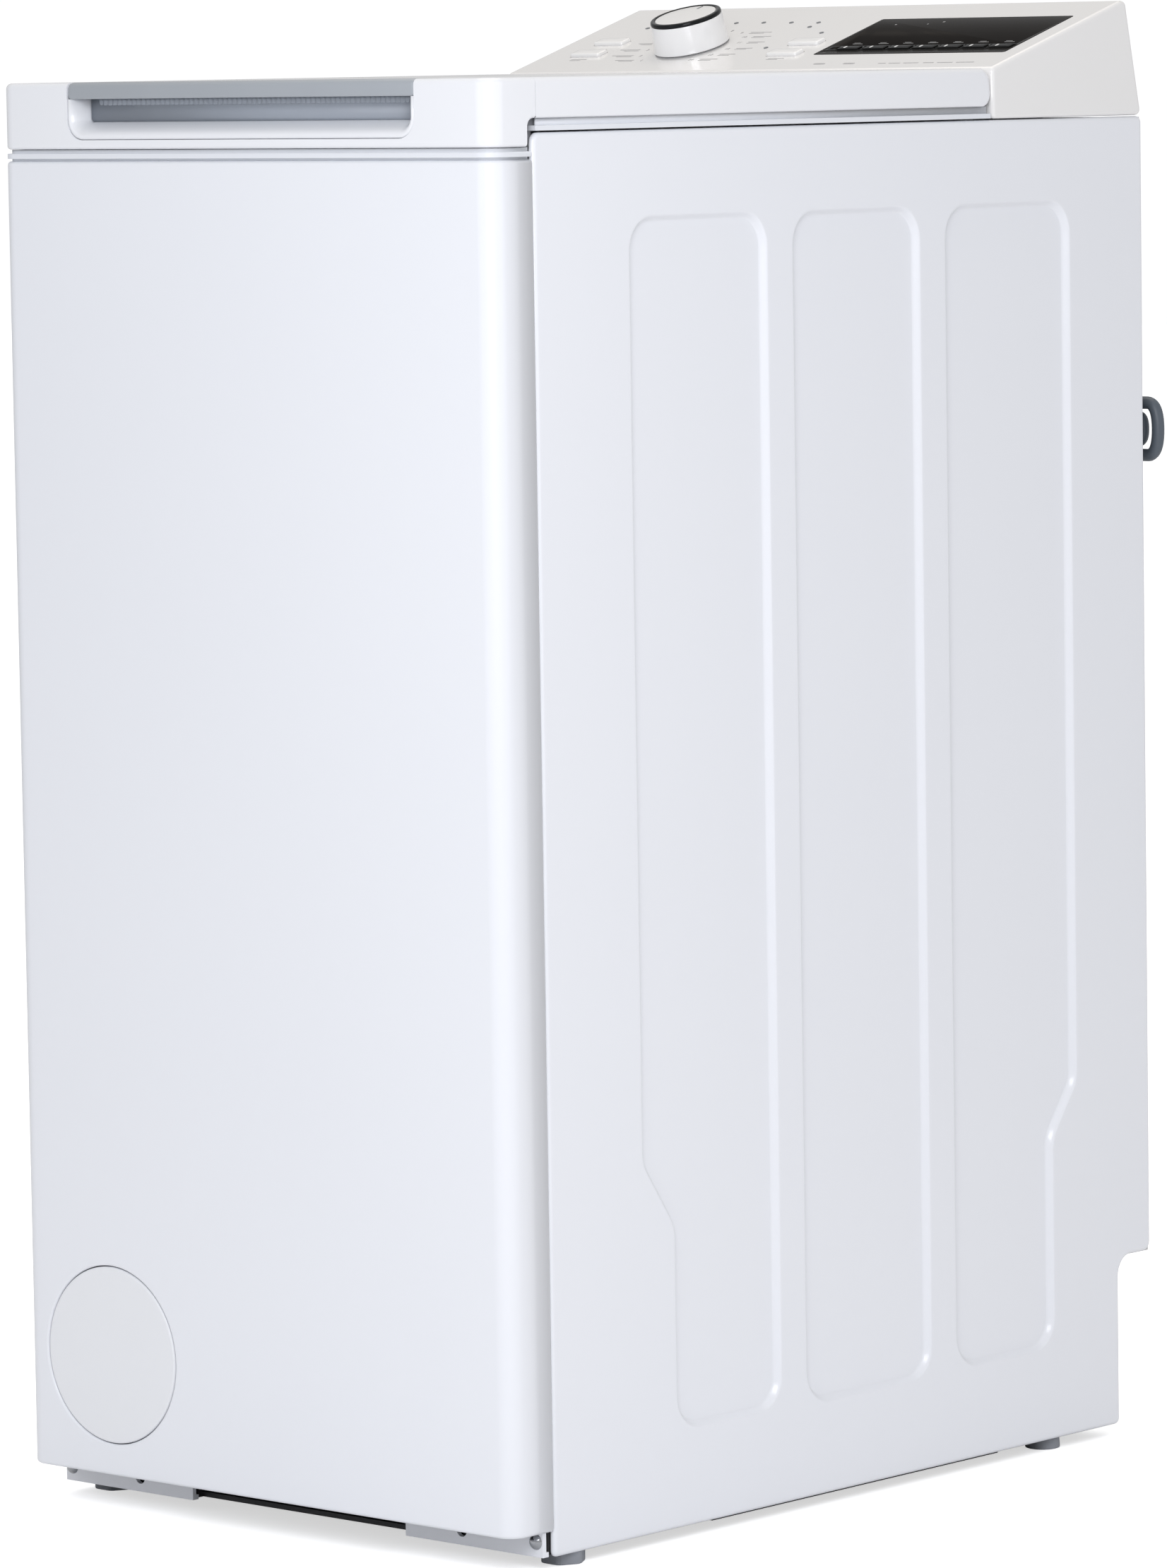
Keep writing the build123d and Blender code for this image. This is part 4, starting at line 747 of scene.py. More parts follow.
def makeLidTrim():
    # A U in plan with a rolled top and bottom edge; towards the rear its bottom sweeps up by a quarter circle.
    half, face, rear, roll, low = trim["half"], trim["face"], trim["rear"], trim["roll"], trim["lowRoll"]
    sweep = np.linspace(0, math.pi / 2, 7)
    rise = trim["sweepTop"] - 7.0
    # the plan's y values along a side, from the rear seam to the corner, with the bottom height at each
    sideY = np.concatenate([-262.0 - 7.0 * (np.sin(sweep)), [trim["sweepAt"] - 0.05]])
    sideZ = np.concatenate([rise + 7.0 * np.cos(sweep), [trim["bottom"]]])
    sideY = np.concatenate([[rear], sideY])
    sideZ = np.concatenate([[trim["sweepTop"]], sideZ])
    arc = roundedPath([(-half, -280, 0), (-half, face, trim["round"]), (0, face, 0)], closed=False, quarter=10)[1:-1]
    left = np.concatenate([np.stack([np.full(len(sideY), -half), sideY], 1), arc])
    leftZ = np.concatenate([sideZ, np.full(len(arc), trim["bottom"])])
    notch = np.array([(-trim["notch"], face), (trim["notch"], face)])
    plan = np.concatenate([left, notch, (left * (-1, 1))[::-1]])
    bottom = np.concatenate([leftZ, [trim["bottom"]] * 2, leftZ[::-1]])
    angle = np.linspace(0, math.pi / 2, 6)
    rows = [onXy(bottom + low * (1 - c))(leftward(plan, low * (1 - s), closed=False))
            for s, c in zip(np.sin(angle), np.cos(angle))]
    rows.append(onXy(bottom + low + 0.8)(plan))
    lowCount = len(rows)
    rows.append(onXy(trim["top"] - roll - 0.8)(plan))
    rows += [onXy(trim["top"] - roll * (1 - s))(leftward(plan, roll * (1 - c), closed=False))
             for s, c in zip(np.sin(angle), np.cos(angle))]
    count = len(plan)
    verts, faces = gridChunk(np.stack(rows))
    column = len(left)
    # between the notch's two sides only the lower rows stay
    keep = []
    for index, facePoints in enumerate(faces):
        row, col = divmod(index, count - 1)
        wide = col in (column - 1, column, column + 1)
        if (row >= lowCount and col == column) or (row == lowCount - 1 and wide):
            continue
        keep.append(facePoints)
    chunks = [(verts, keep)]
    xSide = -left[-1, 0]
    z0, z1 = bottom[column] + low + 0.8, trim["top"] - roll - 0.8
    cut = roundedPath([(trim["notch"], z1, 0), (trim["notch"], trim["notchBottom"], trim["notchRound"]),
                       (-trim["notch"], trim["notchBottom"], trim["notchRound"]), (-trim["notch"], z1, 0)],
                      closed=False, quarter=8)
    ring = np.concatenate([[(-xSide, z1), (-xSide, z0), (-trim["notch"], z0), (trim["notch"], z0), (xSide, z0),
                            (xSide, z1)], cut])
    chunks.append(fillChunk([ring], onXz(face)))
    inner = leftward(plan, roll, closed=False)
    rearNotch = trim["notchRear"]
    topRing = np.concatenate([inner[:column + 1], [(-trim["notch"], rearNotch), (trim["notch"], rearNotch)],
                              inner[column + 1:]])
    chunks.append(fillChunk([topRing], onXy(trim["top"])))
    makePiece("lidFrontTrim", chunks, "lid_plastic", "lid", stands=("lid_front_trim",), middle=(0, -240, 835),
              wall=trim["wall"], soft=42, bevel=0.4)


grip = {
    "half": 141.0,
    "face": -300.0,
    "low": 826.2,
    "round": 11.8,
    "split": 850.2,
    "top": 860.0,
    "rear": -274.4,
    "wallAt": -287.4,
    "teeth": 64,
    "toothReach": 127.0,
}


def makeGrip():
    # The recess goes inwards from its rounded outline: a rim roll, a scooped slope, then the upright wall.
    half, face = grip["half"], grip["face"]
    # left of this path is the inside of the recess
    path = roundedPath([(-half, grip["split"], 0), (-half, grip["low"], grip["round"]),
                        (half, grip["low"], grip["round"]), (half, grip["split"], 0)], closed=False, quarter=10)
    section = [(0.0, 6.0), (0.0, 1.2), (0.35, 0.35), (1.2, 0.0), (1.9, 0.1), (2.6, 0.5), (3.8, 2.0), (5.2, 4.6),
               (6.4, 7.6), (7.2, 9.8), (7.7, 11.4), (8.0, 13.0)]
    # the lower slope is the wider one: its insets are longer by a third, blended round the two corners
    wide = 1 + 0.32 * np.clip(1 - (path[:, 1] - grip["low"]) / grip["round"], 0, 1)
    rows = np.stack([onXz(face + back)(leftward(path, inset * wide, closed=False)) for inset, back in section])
    makePiece("gripBezel", [gridChunk(rows)], "lid_plastic", "lid", stands=("lid_grip",),
              middle=(0, -200, 838), wall=1.2, soft=50)
    ring = leftward(path, 7.8 * wide, closed=False)
    back = fillChunk([ring], onXz(grip["wallAt"]))
    # teeth under the bar: a sawtooth across, fading to the wall below
    count = grip["teeth"]
    across = np.linspace(-grip["toothReach"], grip["toothReach"], count * 6 + 1)
    share = (np.arange(len(across)) % 6) / 6.0
    tooth = np.where(share < 0.55, share / 0.55, (1 - share) / 0.45)
    heights = np.array([846.2, 846.9, 847.8, 848.8, grip["split"]])
    swell = np.array([0.0, 0.35, 0.8, 1.0, 1.0])
    ends = np.clip((grip["toothReach"] - np.abs(across)) / 14.0, 0, 1)
    y = grip["wallAt"] + 0.02 - 1.1 * swell[:, None] * (tooth * ends)[None, :]
    rows = np.stack([np.broadcast_to(across, y.shape), y, np.broadcast_to(heights[:, None], y.shape)], -1)
    makePiece("gripWall", [back], "gripRecess", "lid", middle=(0, -200, 838), wall=1.0)
    makePiece("gripTeeth", [gridChunk(rows)], "gripRecess", "lid", middle=(0, -200, 838),
              soft=25, wall=0.3)
    bar = roundedPath([(face - 0.3, grip["split"], 1.2), (face - 0.3, grip["top"] + 0.05, 3.6),
                       (grip["rear"], grip["top"] + 0.05, 0.6), (grip["rear"], 856.6, 0.6), (-281.0, 856.0, 4.0),
                       (-281.0, grip["split"], 1.0)], quarter=6)
    bar = counterClockwise(bar)
    xs = np.array([-half, -half + 0.5, -half + 1.5, -half + 3.2, half - 1.6, half - 0.6, half])
    pull = np.array([2.2, 1.3, 0.5, 0.0, 0.0, 0.35, 1.0])
    rows = np.stack([onYz(x)(leftward(bar, p * 0.9)) for x, p in zip(xs, pull)])
    chunks = [gridChunk(rows, closedCols=True), discChunk(rows[0]), discChunk(rows[-1])]
    makePiece("gripBar", chunks, "grip_plastic", "lid", closed=True, soft=40)


seam = {
    "out": 197.3,
    "face": -297.3,
    "rear": -266.0,
    "round": 9.4,
    "low": 813.3,
    "high": 820.3,
    "sideOut": 196.4,
    "sideY": (-258.0, 150.0),
    "sideLow": 830.0,
    "sideHigh": 836.9,
    "wall": 1.2,
}


def makeSeamRim():
    # upright strips of the top frame, a little inside the cabinet's faces: they close the gaps under the lid
    out = seam["out"]
    plan = roundedPath([(-out, seam["rear"], 0), (-out, seam["face"], seam["round"]),
                        (out, seam["face"], seam["round"]), (out, seam["rear"], 0)], closed=False, quarter=10)
    chunks = [gridChunk(np.stack([onXy(z)(plan) for z in (seam["low"], seam["high"])]))]
    y0, y1 = seam["sideY"]
    for side in (-1, 1):
        strip = np.array([(side * seam["sideOut"], y0), (side * seam["sideOut"], y1)])
        chunks.append(gridChunk(np.stack([onXy(z)(strip) for z in (seam["sideLow"], seam["sideHigh"])])))
    makePiece("seamRim", chunks, "frame_plastic", "cabinet", middle=(0, -60, 817), wall=seam["wall"])


makeLidCover()
makeLidTrim()
makeGrip()
makeSeamRim()
print("stage: lid made")

# console

fasciaTilt = math.radians(17.3)
fasciaStart = np.array((0, 150.8, 860.0))
fasciaUp = np.array((0, math.cos(fasciaTilt), math.sin(fasciaTilt)))
fasciaNormal = np.array((0, -math.sin(fasciaTilt), math.cos(fasciaTilt)))


def onFascia(height):
    # (across, up the slope) pairs, at a height above the sloping face
    return lambda p: fasciaStart + p[:, :1] * (1, 0, 0) + p[:, 1:2] * fasciaUp + np.asarray(height) * fasciaNormal


def alongFascia(x, s):
    centre = fasciaStart + x * np.array((1, 0, 0)) + s * fasciaUp
    return lambda a, b, c: centre + a[..., None] * (1, 0, 0) + b[..., None] * fasciaUp + c[..., None] * fasciaNormal


console = {
    "half": 200.0,
    "front": 151.8,
    "bottom": 829.2,
    "peak": (279.2, 900.0),
    "sideRound": 2.6,
    "wall": 2.6,
    "knob": (-84.0, 52.0),
    "buttons": ((-161.5, 39.0), (-161.5, 63.0), (7.5, 35.0), (7.5, 57.0)),
    "buttonSize": (25.0, 10.0),
    "keys": (53.0, 74.0, 94.0, 114.0, 134.0, 154.0, 174.5),
    "keyUp": 44.0,
    "keySize": (17.0, 6.4),
    "window": (32.0, 186.0, 32.0, 105.0),
}


def roundRect(x0, x1, y0, y1, radius, quarter=5):
    return roundedPath([(x0, y0, radius), (x1, y0, radius), (x1, y1, radius), (x0, y1, radius)], quarter=quarter)


def centredRect(x, y, width, height, radius):
    return roundRect(x - width / 2, x + width / 2, y - height / 2, y + height / 2, radius)


def makeConsole():
    # The side outline with rounded corners; the middle spans between the two rolled sides, and the slope has openings.
    half = console["half"]
    path = roundedPath([
        (console["front"], console["bottom"], 3.6), (300, console["bottom"], 3.6), (285, 900, 3.8),
        (*console["peak"], 3.8), (console["front"], 860.311, 3.6)], quarter=6)
    path = counterClockwise(path)
    radius = console["sideRound"]
    angle = np.linspace(0, math.pi / 2, 7)
    chunks = []
    for side in (-1, 1):
        rows = [onYz(side * (half - radius * (1 - s)))(leftward(path, radius * (1 - c)))
                for s, c in zip(np.sin(angle), np.cos(angle))]
        rows.append(onYz(side * half)(leftward(path, radius + 0.8)))
        chunks.append(gridChunk(np.stack(rows), closedCols=True))
        chunks.append(fillChunk([leftward(path, radius + 0.8)], onYz(side * half)))
    step = np.roll(path, -1, 0) - path
    slope = int(np.argmin(step[:, 0] + (np.abs(np.hypot(*step.T) - 133) > 12) * 1000))
    inner = half - radius
    verts, faces = gridChunk(np.stack([onYz(-inner)(path), onYz(inner)(path)]), closedCols=True)
    faces = faces[:slope] + faces[slope + 1:]
    chunks.append((verts, faces))
    ends = path[[slope, (slope + 1) % len(path)]]
    up = (ends - fasciaStart[1:]) @ fasciaUp[1:]
    holes = [centredRect(x, s, console["buttonSize"][0] + 0.9, console["buttonSize"][1] + 0.9, 2.4)
             for x, s in console["buttons"]]
    x0, x1, s0, s1 = console["window"]
    holes.append(roundRect(x0, x1, s0, s1, 2.0))
    low, high = sorted(up)
    edge = np.array([(-inner, low), (inner, low), (inner, high), (-inner, high)])
    lift = float(((ends - fasciaStart[1:]) @ fasciaNormal[1:]).mean())
    chunks.append(fillChunk([edge] + holes, onFascia(lift)))
    makePiece("consoleBody", chunks, "console_plastic", "cabinet", stands=("console_body",), middle=(0, 230, 850),
              wall=console["wall"], soft=40, bevel=0.25)


def makeWindow():
    # a dark glass plate with rounded rim and an opening for each key
    x0, x1, s0, s1 = console["window"]
    outline = roundRect(x0 + 0.15, x1 - 0.15, s0 + 0.15, s1 - 0.15, 1.9)
    keys = [centredRect(x, console["keyUp"], console["keySize"][0] + 0.5, console["keySize"][1] + 0.5, 0.9)
            for x in console["keys"]]
    rows = [onFascia(-2.0)(outline), onFascia(-0.1)(outline), onFascia(0.1)(leftward(outline, 0.1)),
            onFascia(0.2)(leftward(outline, 0.35)), onFascia(0.2)(leftward(outline, 0.8))]
    chunks = [gridChunk(np.stack(rows), closedCols=True),
              fillChunk([leftward(outline, 0.8)] + keys, onFascia(0.2))]
    makePiece("displayGlass", chunks, "display_black", "cabinet", stands=("display_window",), middle=(108, 210, 860),
              wall=1.2, soft=50)
    bar = roundRect(x0 + 4, x1 - 2.5, 39.6, 48.8, 1.5)
    outline = counterClockwise(bar)
    chunks = [gridChunk(np.stack([onFascia(0.2)(outline), onFascia(0.32)(leftward(outline, 0.1)),
                                  onFascia(0.34)(leftward(outline, 0.6))]), closedCols=True),
              fillChunk([leftward(outline, 0.6)] + keys, onFascia(0.34))]
    makePiece("keyBand", chunks, "key_plastic", "cabinet", middle=(108, 210, 860), soft=50, wall=0.2)


def padRows(x, s, width, height, corner, base, top, crown, edge):
    # A rounded pad on the fascia: upright sides, a quarter-circle edge, and a crown that swells to the middle.
    outline = counterClockwise(centredRect(x, s, width, height, corner))
    angle = np.linspace(0, math.pi / 2, 5)
    rows = [onFascia(base)(outline)]
    rows += [onFascia(top - edge * (1 - b))(leftward(outline, edge * (1 - a)))
             for a, b in zip(np.cos(angle), np.sin(angle))]
    inner = leftward(outline, edge)
    middle = np.array((x, s))
    rows += [onFascia(top + crown * (1 - k * k))(middle + (inner - middle) * k) for k in (0.8, 0.5, 0.2)]
    return np.stack(rows)


def makeButtons():
    width, height = console["buttonSize"]
    for number, (x, s) in enumerate(console["buttons"], start=1):
        rows = padRows(x, s, width, height, 2.0, -6.0, 2.3, 0.3, 1.2)
        chunks = [gridChunk(rows, closedCols=True), discChunk(rows[0]), discChunk(rows[-1])]
        makePiece(f"optionButton{number}", chunks, "button_plastic", f"button_{number}",
                  stands=(f"option_button_{number}",), closed=True, soft=45)
    width, height = console["keySize"]
    for number, x in enumerate(console["keys"], start=1):
        rows = padRows(x, console["keyUp"], width, height, 0.9, -6.0, 0.75, 0.15, 0.6)
        chunks = [gridChunk(rows, closedCols=True), discChunk(rows[0]), discChunk(rows[-1])]
        makePiece(f"displayKey{number}", chunks, "key_plastic", f"key_{number}", stands=(f"display_key_{number}",),
                  closed=True, soft=45)


def makeKnob():
    # Three turned pieces: a tapered body, a dark ring over its upper edge, and a slightly domed cap inside the ring.
    place = alongFascia(*console["knob"])
    angle = np.linspace(0, math.pi / 2, 6)
    body = [(0, 0.9), (23.4, 0.9), (24.1, 1.0), (24.5, 1.5), (24.45, 3.0), (23.7, 12.0), (23.2, 18.2)]
    body += [(23.15 - 0.5 + 0.5 * c, 18.6 + 0.5 * s) for s, c in zip(np.sin(angle), np.cos(angle))]
    body += [(21.5, 19.1), (0, 19.1)]
    makePiece("knobBody", [revolved(body, place, 96)], "knob_plastic", "knob", stands=("programme_knob",),
              closed=True, soft=40)
    ring = [(19.6, 18.6), (22.3, 18.8), (22.9, 19.0), (23.1, 19.5), (23.05, 20.2)]
    ring += [(22.0 + 1.0 * c, 20.4 + 1.2 * s) for s, c in zip(np.sin(angle), np.cos(angle))]
    ring += [(20.8, 21.7), (20.3, 21.5), (20.0, 21.0), (19.6, 20.0)]
    rows = revolved(ring + [ring[0]], place, 96)
    makePiece("knobRing", [rows], "ringBlack", "knob", closed=True, soft=40)
    cap = [(0, 20.0), (19.4, 20.0), (19.8, 20.3), (19.9, 20.9), (19.6, 21.3), (18.6, 21.45), (12, 21.65), (5, 21.75),
           (0, 21.78)]
    pointer = centredRect(console["knob"][0], console["knob"][1] + 15.0, 1.3, 6.0, 0.6)
    makePiece("knobCap", [revolved(cap, place, 96)], "capLight", "knob", closed=True, soft=40)
    mark = [gridChunk(np.stack([onFascia(21.3)(pointer), onFascia(21.74)(pointer)]), closedCols=True),
            discChunk(onFascia(21.74)(pointer)), discChunk(onFascia(21.3)(pointer))]
    makePiece("knobPointer", mark, "printGrey", "knob", closed=True)
    # a grey disc under the knob, seen as a thin ring round its base, is painted shade for the gap under the knob
    gapShadeDisc = [(0, -2.0), (4.6, -2.0), (4.6, 0.1), (24.0, 0.1), (24.2, 0.3), (24.0, 0.5), (0, 0.5)]
    makePiece("knobGapShade", [revolved(gapShadeDisc, place, 96)], "printSoft", "cabinet", closed=True)


marks = {
    "lamps": ((-87.7, 102), (-64.5, 102), (-40.5, 101), (-17, 100), (-17.3, 91), (-157, 94), (-19, 48), (3, 78),
              (-158, 72)),
    "thick": 0.12,
    "dialRadius": 34.0,
    "numbers": 14,
    "numberSize": 4.0,
}


def plate(x, s, width, height, base=0.28, corner=None):
    outline = centredRect(x, s, width, height, corner or min(width, height) * 0.3)
    bottom, top = onFascia(base - 0.2)(outline), onFascia(base + marks["thick"])(outline)
    return [gridChunk(np.stack([bottom, top]), closedCols=True), discChunk(top), discChunk(bottom)]


def makeMarks():
    # short printed dashes stand for the programme names, beside numbers round the dial
    lift = 0.0
    chunks = []
    rng = np.random.default_rng(7)
    x0, s0 = console["knob"]
    turns = np.radians(np.linspace(232, -52, marks["numbers"]))
    for turn in turns:
        x, s = x0 + marks["dialRadius"] * math.cos(turn), s0 + marks["dialRadius"] * math.sin(turn)
        out = 1 if math.cos(turn) > 0 else -1
        wide = float(rng.uniform(11, 19))
        if abs(math.cos(turn)) > 0.3:
            chunks += plate(x + out * (7 + wide / 2), s + 0.9, wide, 0.8, lift)
            chunks += plate(x + out * (7 + wide * 0.36), s - 1.3, wide * 0.72, 0.7, lift)
    for x, s in ((-161.5, 49.5), (-161.5, 73.0), (7.5, 45.0), (7.5, 67.0), (-161.5, 29.0), (7.5, 25.5)):
        chunks += plate(x, s, 13, 0.8, lift)
        chunks += plate(x - 2.0, s - 2.0, 9, 0.7, lift)
    for x, wide in ((104, 6), (114, 9), (127, 12), (141, 8), (154, 12), (170, 14)):
        chunks += plate(x, 12.5, wide, 1.0, lift)
    for x, s in ((53, 13.0), (77, 13.0)):
        chunks += plate(x, s, 9, 2.2, lift, 1.0)
    makePiece("printedMarks", chunks, "printSoft", "cabinet", closed=True)
    rings = []
    for x, s in marks["lamps"]:
        rings.append(revolved([(0, 0.0), (1.5, 0.0), (1.5, 0.35), (1.1, 0.45), (0, 0.4)], alongFascia(x, s), 20))
    makePiece("indicatorLamps", rings, "printGrey", "cabinet", closed=True)
    glass = []
    for x in console["keys"]:
        glass += plate(x, 52.4, 8.0, 0.6, 0.22)
        glass += plate(x - 1.5, 54.2, 5.0, 0.5, 0.22)
    for x, s, wide in ((53, 92, 1.6), (79, 92, 1.2), (89, 96, 1.8)):
        glass += plate(x, s, wide, wide, 0.22, wide * 0.45)
    makePiece("displayMarks", glass, "printDim", "cabinet", closed=True)
    # a small pale patch on each key is a painted glint; it rides with its key
    for number, x in enumerate(console["keys"], start=1):
        makePiece(f"paintedKeyGlint{number}", plate(x - 3.5, console["keyUp"] + 0.4, 1.6, 3.2, 0.84), "capLight",
                  f"key_{number}", closed=True)


def makeNumbers():
    # generic numbers round the dial
    x0, s0 = console["knob"]
    turns = np.linspace(232, -52, marks["numbers"])
    meshes = []
    turn = Matrix(((1, 0, 0), tuple(fasciaUp), tuple(fasciaNormal))).transposed()
    for number, degrees in enumerate(turns, start=1):
        curve = bpy.data.curves.new("number", "FONT")
        curve.body = str(number)
        curve.size = marks["numberSize"] * mm
        curve.align_x = "CENTER"
        curve.align_y = "CENTER"
        curve.extrude = 0.00006
        curve.resolution_u = 2
        holder = bpy.data.objects.new("number", curve)
        bpy.context.scene.collection.objects.link(holder)
        bpy.context.view_layer.update()
        mesh = bpy.data.meshes.new_from_object(holder)
        radius = marks["dialRadius"]
        spot = np.array([(x0 + radius * math.cos(math.radians(degrees)), s0 + radius * math.sin(math.radians(degrees)))])
        centre = onFascia(0.06)(spot)[0] * mm
        mesh.transform(Matrix.Translation(Vector(centre)) @ turn.to_4x4())
        bpy.data.objects.remove(holder)
        count = len(mesh.vertices)
        co = np.empty(count * 3)
        mesh.vertices.foreach_get("co", co)
        meshes.append((co.reshape(-1, 3) / mm, [list(p.vertices) for p in mesh.polygons]))
        bpy.data.meshes.remove(mesh)
    makePiece("dialNumbers", meshes, "printSoft", "cabinet", closed=True)


makeConsole()
makeWindow()
makeButtons()
makeKnob()
makeMarks()
makeNumbers()
print("stage: console made")

# the rest of the outside keeps its CAD shape, with rounded edges

roundedNodes = {
    "top_frame": 0.7, "front_crossbar": 0.7, "base_frame": 0.8, "foot_front_left": 0.8, "foot_front_right": 0.8,
    "rear_feet": 0.8, "rear_panel": 0.4, "screws": 0.2, "lid_liner": 0.8, "dispenser_tray": 0.8, "lid_lock": 0.6,
    "inlet_valve": 0.3, "drain_pipe": 0.4, "pump_housing": 0.6, "pump_filter": 0.6, "pump_impeller": 0.4,
    "drum_lifters": 1.5, "drum_pulley": 0.8, "motor_body": 1.2, "motor_rotor": 0.4, "counterweights": 3.0,
    "tub": 1.0, "bearings": 0.5, "drum_shafts": 0.4, "damper_rods": 0.4, "heater": 0.3, "circuit_boards": 0.2,
    "flap_button": 0.8, "drive_belt": 0.3,
}
for node, width in roundedNodes.items():
    bevelCopy(node, width)
print("stage: frame pieces made")

# drum, bellows and springs

drum = {
    "y": -45.0, "z": 470.0, "radius": 214.0, "half": 138.0, "sheet": 1.5, "hole": 1.7, "pitch": 9.2,
    "open": 34.6,     # degrees from the top to each side of the opening
}


def holeSheet(cols, rows, holeShare):
    # One tile is eight faces between its square edge and an eight-sided hole; the tiles repeat over the unit square.
    edge = np.array([(0, 0), (0.5, 0), (1, 0), (1, 0.5), (1, 1), (0.5, 1), (0, 1), (0, 0.5)], float)
    turn = np.radians(np.array([225, 270, 315, 0, 45, 90, 135, 180]))
    hole = 0.5 + np.stack([np.cos(turn), np.sin(turn)], 1) * holeShare
    tile = np.concatenate([edge, hole])
    i, j = np.meshgrid(np.arange(cols), np.arange(rows), indexing="ij")
    origin = np.stack([i.ravel(), j.ravel()], 1)
    points = (origin[:, None, :] + tile[None]).reshape(-1, 2) / (cols, rows)
    k = np.arange(8)
    faces = np.stack([k, (k + 1) % 8, 8 + (k + 1) % 8, 8 + k], 1)
    faces = (np.arange(cols * rows)[:, None, None] * 16 + faces[None]).reshape(-1, 4)
    return points, faces.tolist()


def onDrum(points, angle0, angle1, x0, x1, radius):
    angle = np.radians(angle0 + points[:, 1] * (angle1 - angle0))
    x = x0 + points[:, 0] * (x1 - x0)
    return np.stack([x, drum["y"] + radius * np.sin(angle), drum["z"] + radius * np.cos(angle)], 1)


def makeDrum():
    # The perforated sheet is wrapped from one side of the opening round to the other; plain borders close the rest.
    start, end = drum["open"], 360 - drum["open"]
    radius = drum["radius"]
    cols = int(2 * (drum["half"] - 12) / drum["pitch"])
    rows = int(math.radians(end - start) * radius / drum["pitch"])
    points, faces = holeSheet(cols, rows, drum["hole"] / drum["pitch"])
    chunks = [(onDrum(points, start, end, -drum["half"] + 12, drum["half"] - 12, radius), faces)]
    turns = np.radians(np.linspace(0, 360, 145))[:-1]
    ringTurns = np.linspace(start, end, rows + 1)
    for side in (-1, 1):
        u = np.array([side * (drum["half"] - 12), side * (drum["half"] - 2), side * drum["half"]])
        angle = np.radians(ringTurns)
        grid = np.stack([np.stack([np.full(len(angle), x), drum["y"] + r * np.sin(angle), drum["z"] + r * np.cos(angle)],
                                  -1) for x, r in zip(u, (radius, radius, radius - 0.6))])
        chunks.append(gridChunk(grid))
        # plain strip beside the opening, over the top
        over = np.radians(np.linspace(-start, start, 25))
        strip = np.stack([np.stack([np.full(len(over), x), drum["y"] + r * np.sin(over), drum["z"] + r * np.cos(over)],
                                   -1) for x, r in zip(u, (radius, radius, radius - 0.6))])
        chunks.append(gridChunk(strip))
    makePiece("drumShell", chunks, "drum_steel", "drum", stands=("drum_shell",), middle=(0, drum["y"], drum["z"]),
              wall=drum["sheet"], soft=30)
    for side, label in ((-1, "Left"), (1, "Right")):
        # end disc with two pressed rings: the depth follows a raised cosine of the radius
        radii = np.concatenate([[1.0], np.linspace(12, 200, 48), [210.0, 212.3]])
        swell = 2.6 * (0.5 - 0.5 * np.cos(np.clip((radii - 55) / 70, 0, 1) * 2 * math.pi))
        swell += 2.6 * (0.5 - 0.5 * np.cos(np.clip((radii - 140) / 55, 0, 1) * 2 * math.pi))
        x = side * (drum["half"] - 3 + 1.2) - side * swell
        grid = np.stack([np.broadcast_to(x[:, None], (len(radii), len(turns))),
                         drum["y"] + radii[:, None] * np.sin(turns), drum["z"] + radii[:, None] * np.cos(turns)], -1)
        chunks = [gridChunk(grid, closedCols=True), discChunk(grid[0])]
        makePiece("drumEnd" + label, chunks, "drum_steel", "drum", middle=(0, drum["y"], drum["z"]), wall=1.2, soft=30)
    for node in ("drum_flap_front", "drum_flap_rear"):
        bevelCopy(node, 0.4)


bellows = {"top": 800.0, "bottom": 738.0, "half": (143.0, 133.0), "round": 32.0, "folds": 3.5, "deep": 4.5, "wall": 2.0}


def makeBellows():
    # The mouth's rounded outline, moved inwards by a cosine wave of the height: the folds of a rubber collar.
    x, y = bellows["half"]
    outline = counterClockwise(roundRect(-x, x, drum["y"] - y, drum["y"] + y, bellows["round"], 8))
    share = np.linspace(0, 1, 45)
    z = bellows["top"] + share * (bellows["bottom"] - bellows["top"])
    flat = np.clip(np.minimum(share, 1 - share) / 0.12, 0, 1)
    inset = 0.8 + bellows["deep"] * (0.5 - 0.5 * np.cos(share * bellows["folds"] * 2 * math.pi)) * flat
    rows = np.stack([onXy(h)(leftward(outline, i)) for h, i in zip(z, inset)])
    piece = makePiece("neckBellows", [gridChunk(rows, closedCols=True)], "bellows_rubber", None,
                      stands=("neck_bellows",), middle=(0, drum["y"], 770), wall=bellows["wall"], soft=60)
    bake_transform(piece)


springs = {"places": [(side * 165.0, y) for side in (-1, 1) for y in (-100.0, 10.0)], "top": 800.0, "bottom": 692.0,
           "radius": 7.4, "wire": 1.5, "turns": 11}


def makeSprings():
    # A ring carried along a helix: the wire's centre turns round the axis while it climbs.
    t = np.linspace(0, 1, springs["turns"] * 20 + 1)
    turn = 2 * math.pi * springs["turns"] * t
    centre = np.stack([springs["radius"] * np.cos(turn), springs["radius"] * np.sin(turn),
                       springs["bottom"] + 2 + t * (springs["top"] - springs["bottom"] - 4)], 1)
    out = np.stack([np.cos(turn), np.sin(turn), 0 * turn], 1)
    ring = np.linspace(0, 2 * math.pi, 8, endpoint=False)
    rows = (centre[:, None] + springs["wire"] * (np.cos(ring)[None, :, None] * out[:, None]
            + np.sin(ring)[None, :, None] * np.array((0, 0, 1.0))))
    chunks = []
    for x, y in springs["places"]:
        moved = rows + (x, y, 0)
        chunks += [gridChunk(moved, closedCols=True), discChunk(moved[0]), discChunk(moved[-1])]
    piece = makePiece("suspensionSprings", chunks, "shaft_steel", None, stands=("suspension_springs",), closed=True,
                      soft=60)
    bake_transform(piece)


makeDrum()
makeBellows()
makeSprings()
print("stage: drum, bellows and springs made")

# floor and light

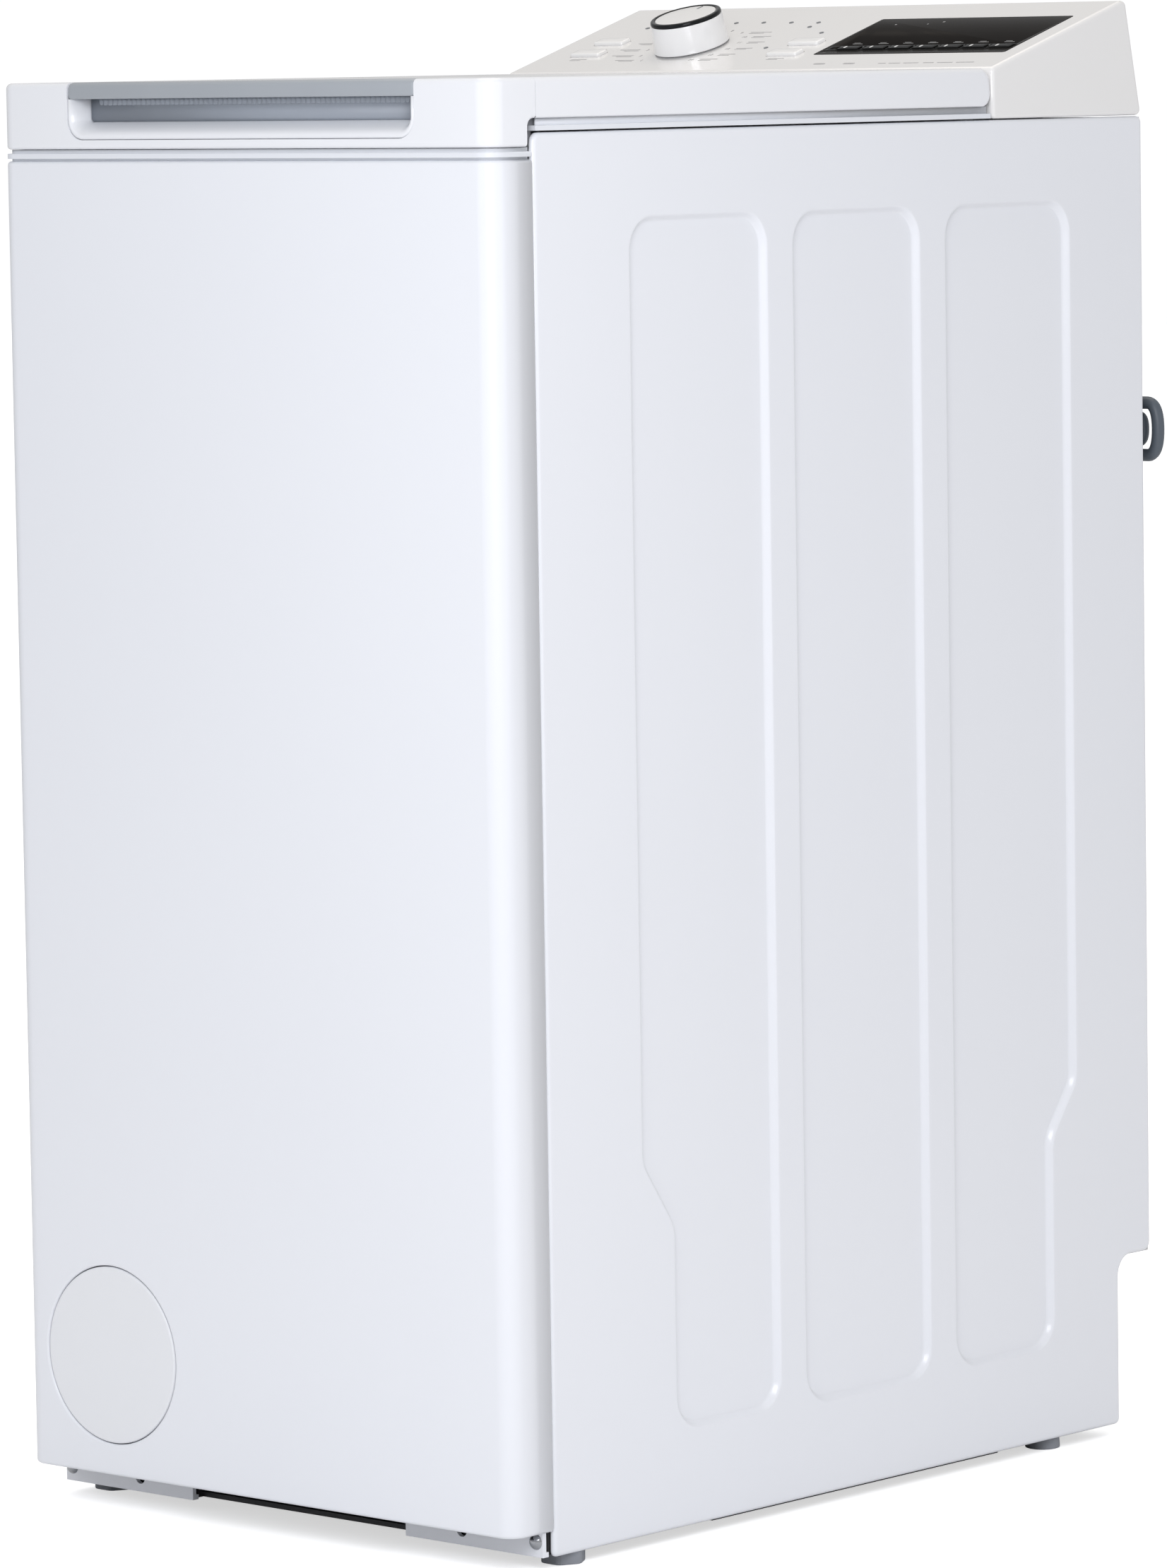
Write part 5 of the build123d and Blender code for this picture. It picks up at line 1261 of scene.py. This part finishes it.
studio = {
    "floorSize": 30.0,
    "world": (0.985, 0.99, 1.0),
    "worldStrength": 0.565,
    "backdrop": 1.03,
    "floorGlow": 0.6,
    "lights": (
        # name, place, size, power, colour, the point it looks at
        ("overhead", (-0.3, 0.4, 3.2), 2.2, 24.0, (1.0, 0.91, 0.80), (0, 0, 0.45)),
        ("frontSoft", (-0.6, -3.4, 1.5), 1.6, 7.0, (0.80, 0.88, 1.0), (0, 0, 0.45)),
        ("cornerKey", (1.15, -1.35, 1.15), 0.8, 13.0, (0.95, 0.96, 1.0), (0.2, -0.3, 0.55)),
        ("sideSoft", (3.0, 0.6, 1.3), 1.6, 5.0, (0.94, 0.95, 1.0), (0, 0, 0.45)),
    ),
}


def makeStudio():
    scene = bpy.context.scene
    scene.view_settings.view_transform = "Standard"
    world = bpy.data.worlds.new("studio")
    world.use_nodes = True
    tree = world.node_tree
    sky = tree.nodes["Background"]
    sky.inputs["Color"].default_value = (*studio["world"], 1)
    # what the camera sees is plain white; what lights the piece is a little weaker
    ray = addNode(tree, "ShaderNodeLightPath")
    extra = mathNode(tree, "MULTIPLY", ray.outputs["Is Camera Ray"], studio["backdrop"] - studio["worldStrength"])
    tree.links.new(mathNode(tree, "ADD", extra, studio["worldStrength"]), sky.inputs["Strength"])
    scene.world = world
    for name, place, size, power, colour, target in studio["lights"]:
        light = bpy.data.lights.new(name, "AREA")
        light.size = size
        light.energy = power
        light.color = colour
        holder = bpy.data.objects.new(name, light)
        scene.collection.objects.link(holder)
        look = Vector(target) - Vector(place)
        holder.matrix_world = Matrix.Translation(place) @ look.to_track_quat("-Z", "Y").to_matrix().to_4x4()
    half = studio["floorSize"] / 2
    mesh = bpy.data.meshes.new("floor")
    mesh.from_pydata([(-half, -half, 0), (half, -half, 0), (half, half, 0), (-half, half, 0)], [], [(0, 1, 2, 3)])
    pale = materials["floorPale"]
    mesh.materials.append(pale)
    # the camera sees the floor as white as the backdrop; the light it sends back to the piece stays the same
    tree = pale.node_tree
    shader = tree.nodes["Principled BSDF"]
    shader.inputs["Emission Color"].default_value = (1, 1, 1, 1)
    seen = addNode(tree, "ShaderNodeLightPath")
    tree.links.new(mathNode(tree, "MULTIPLY", seen.outputs["Is Camera Ray"], studio["floorGlow"]),
                   shader.inputs["Emission Strength"])
    floor = bpy.data.objects.new("floor", mesh)
    scene.collection.objects.link(floor)


makeStudio()
print("stage: studio made")
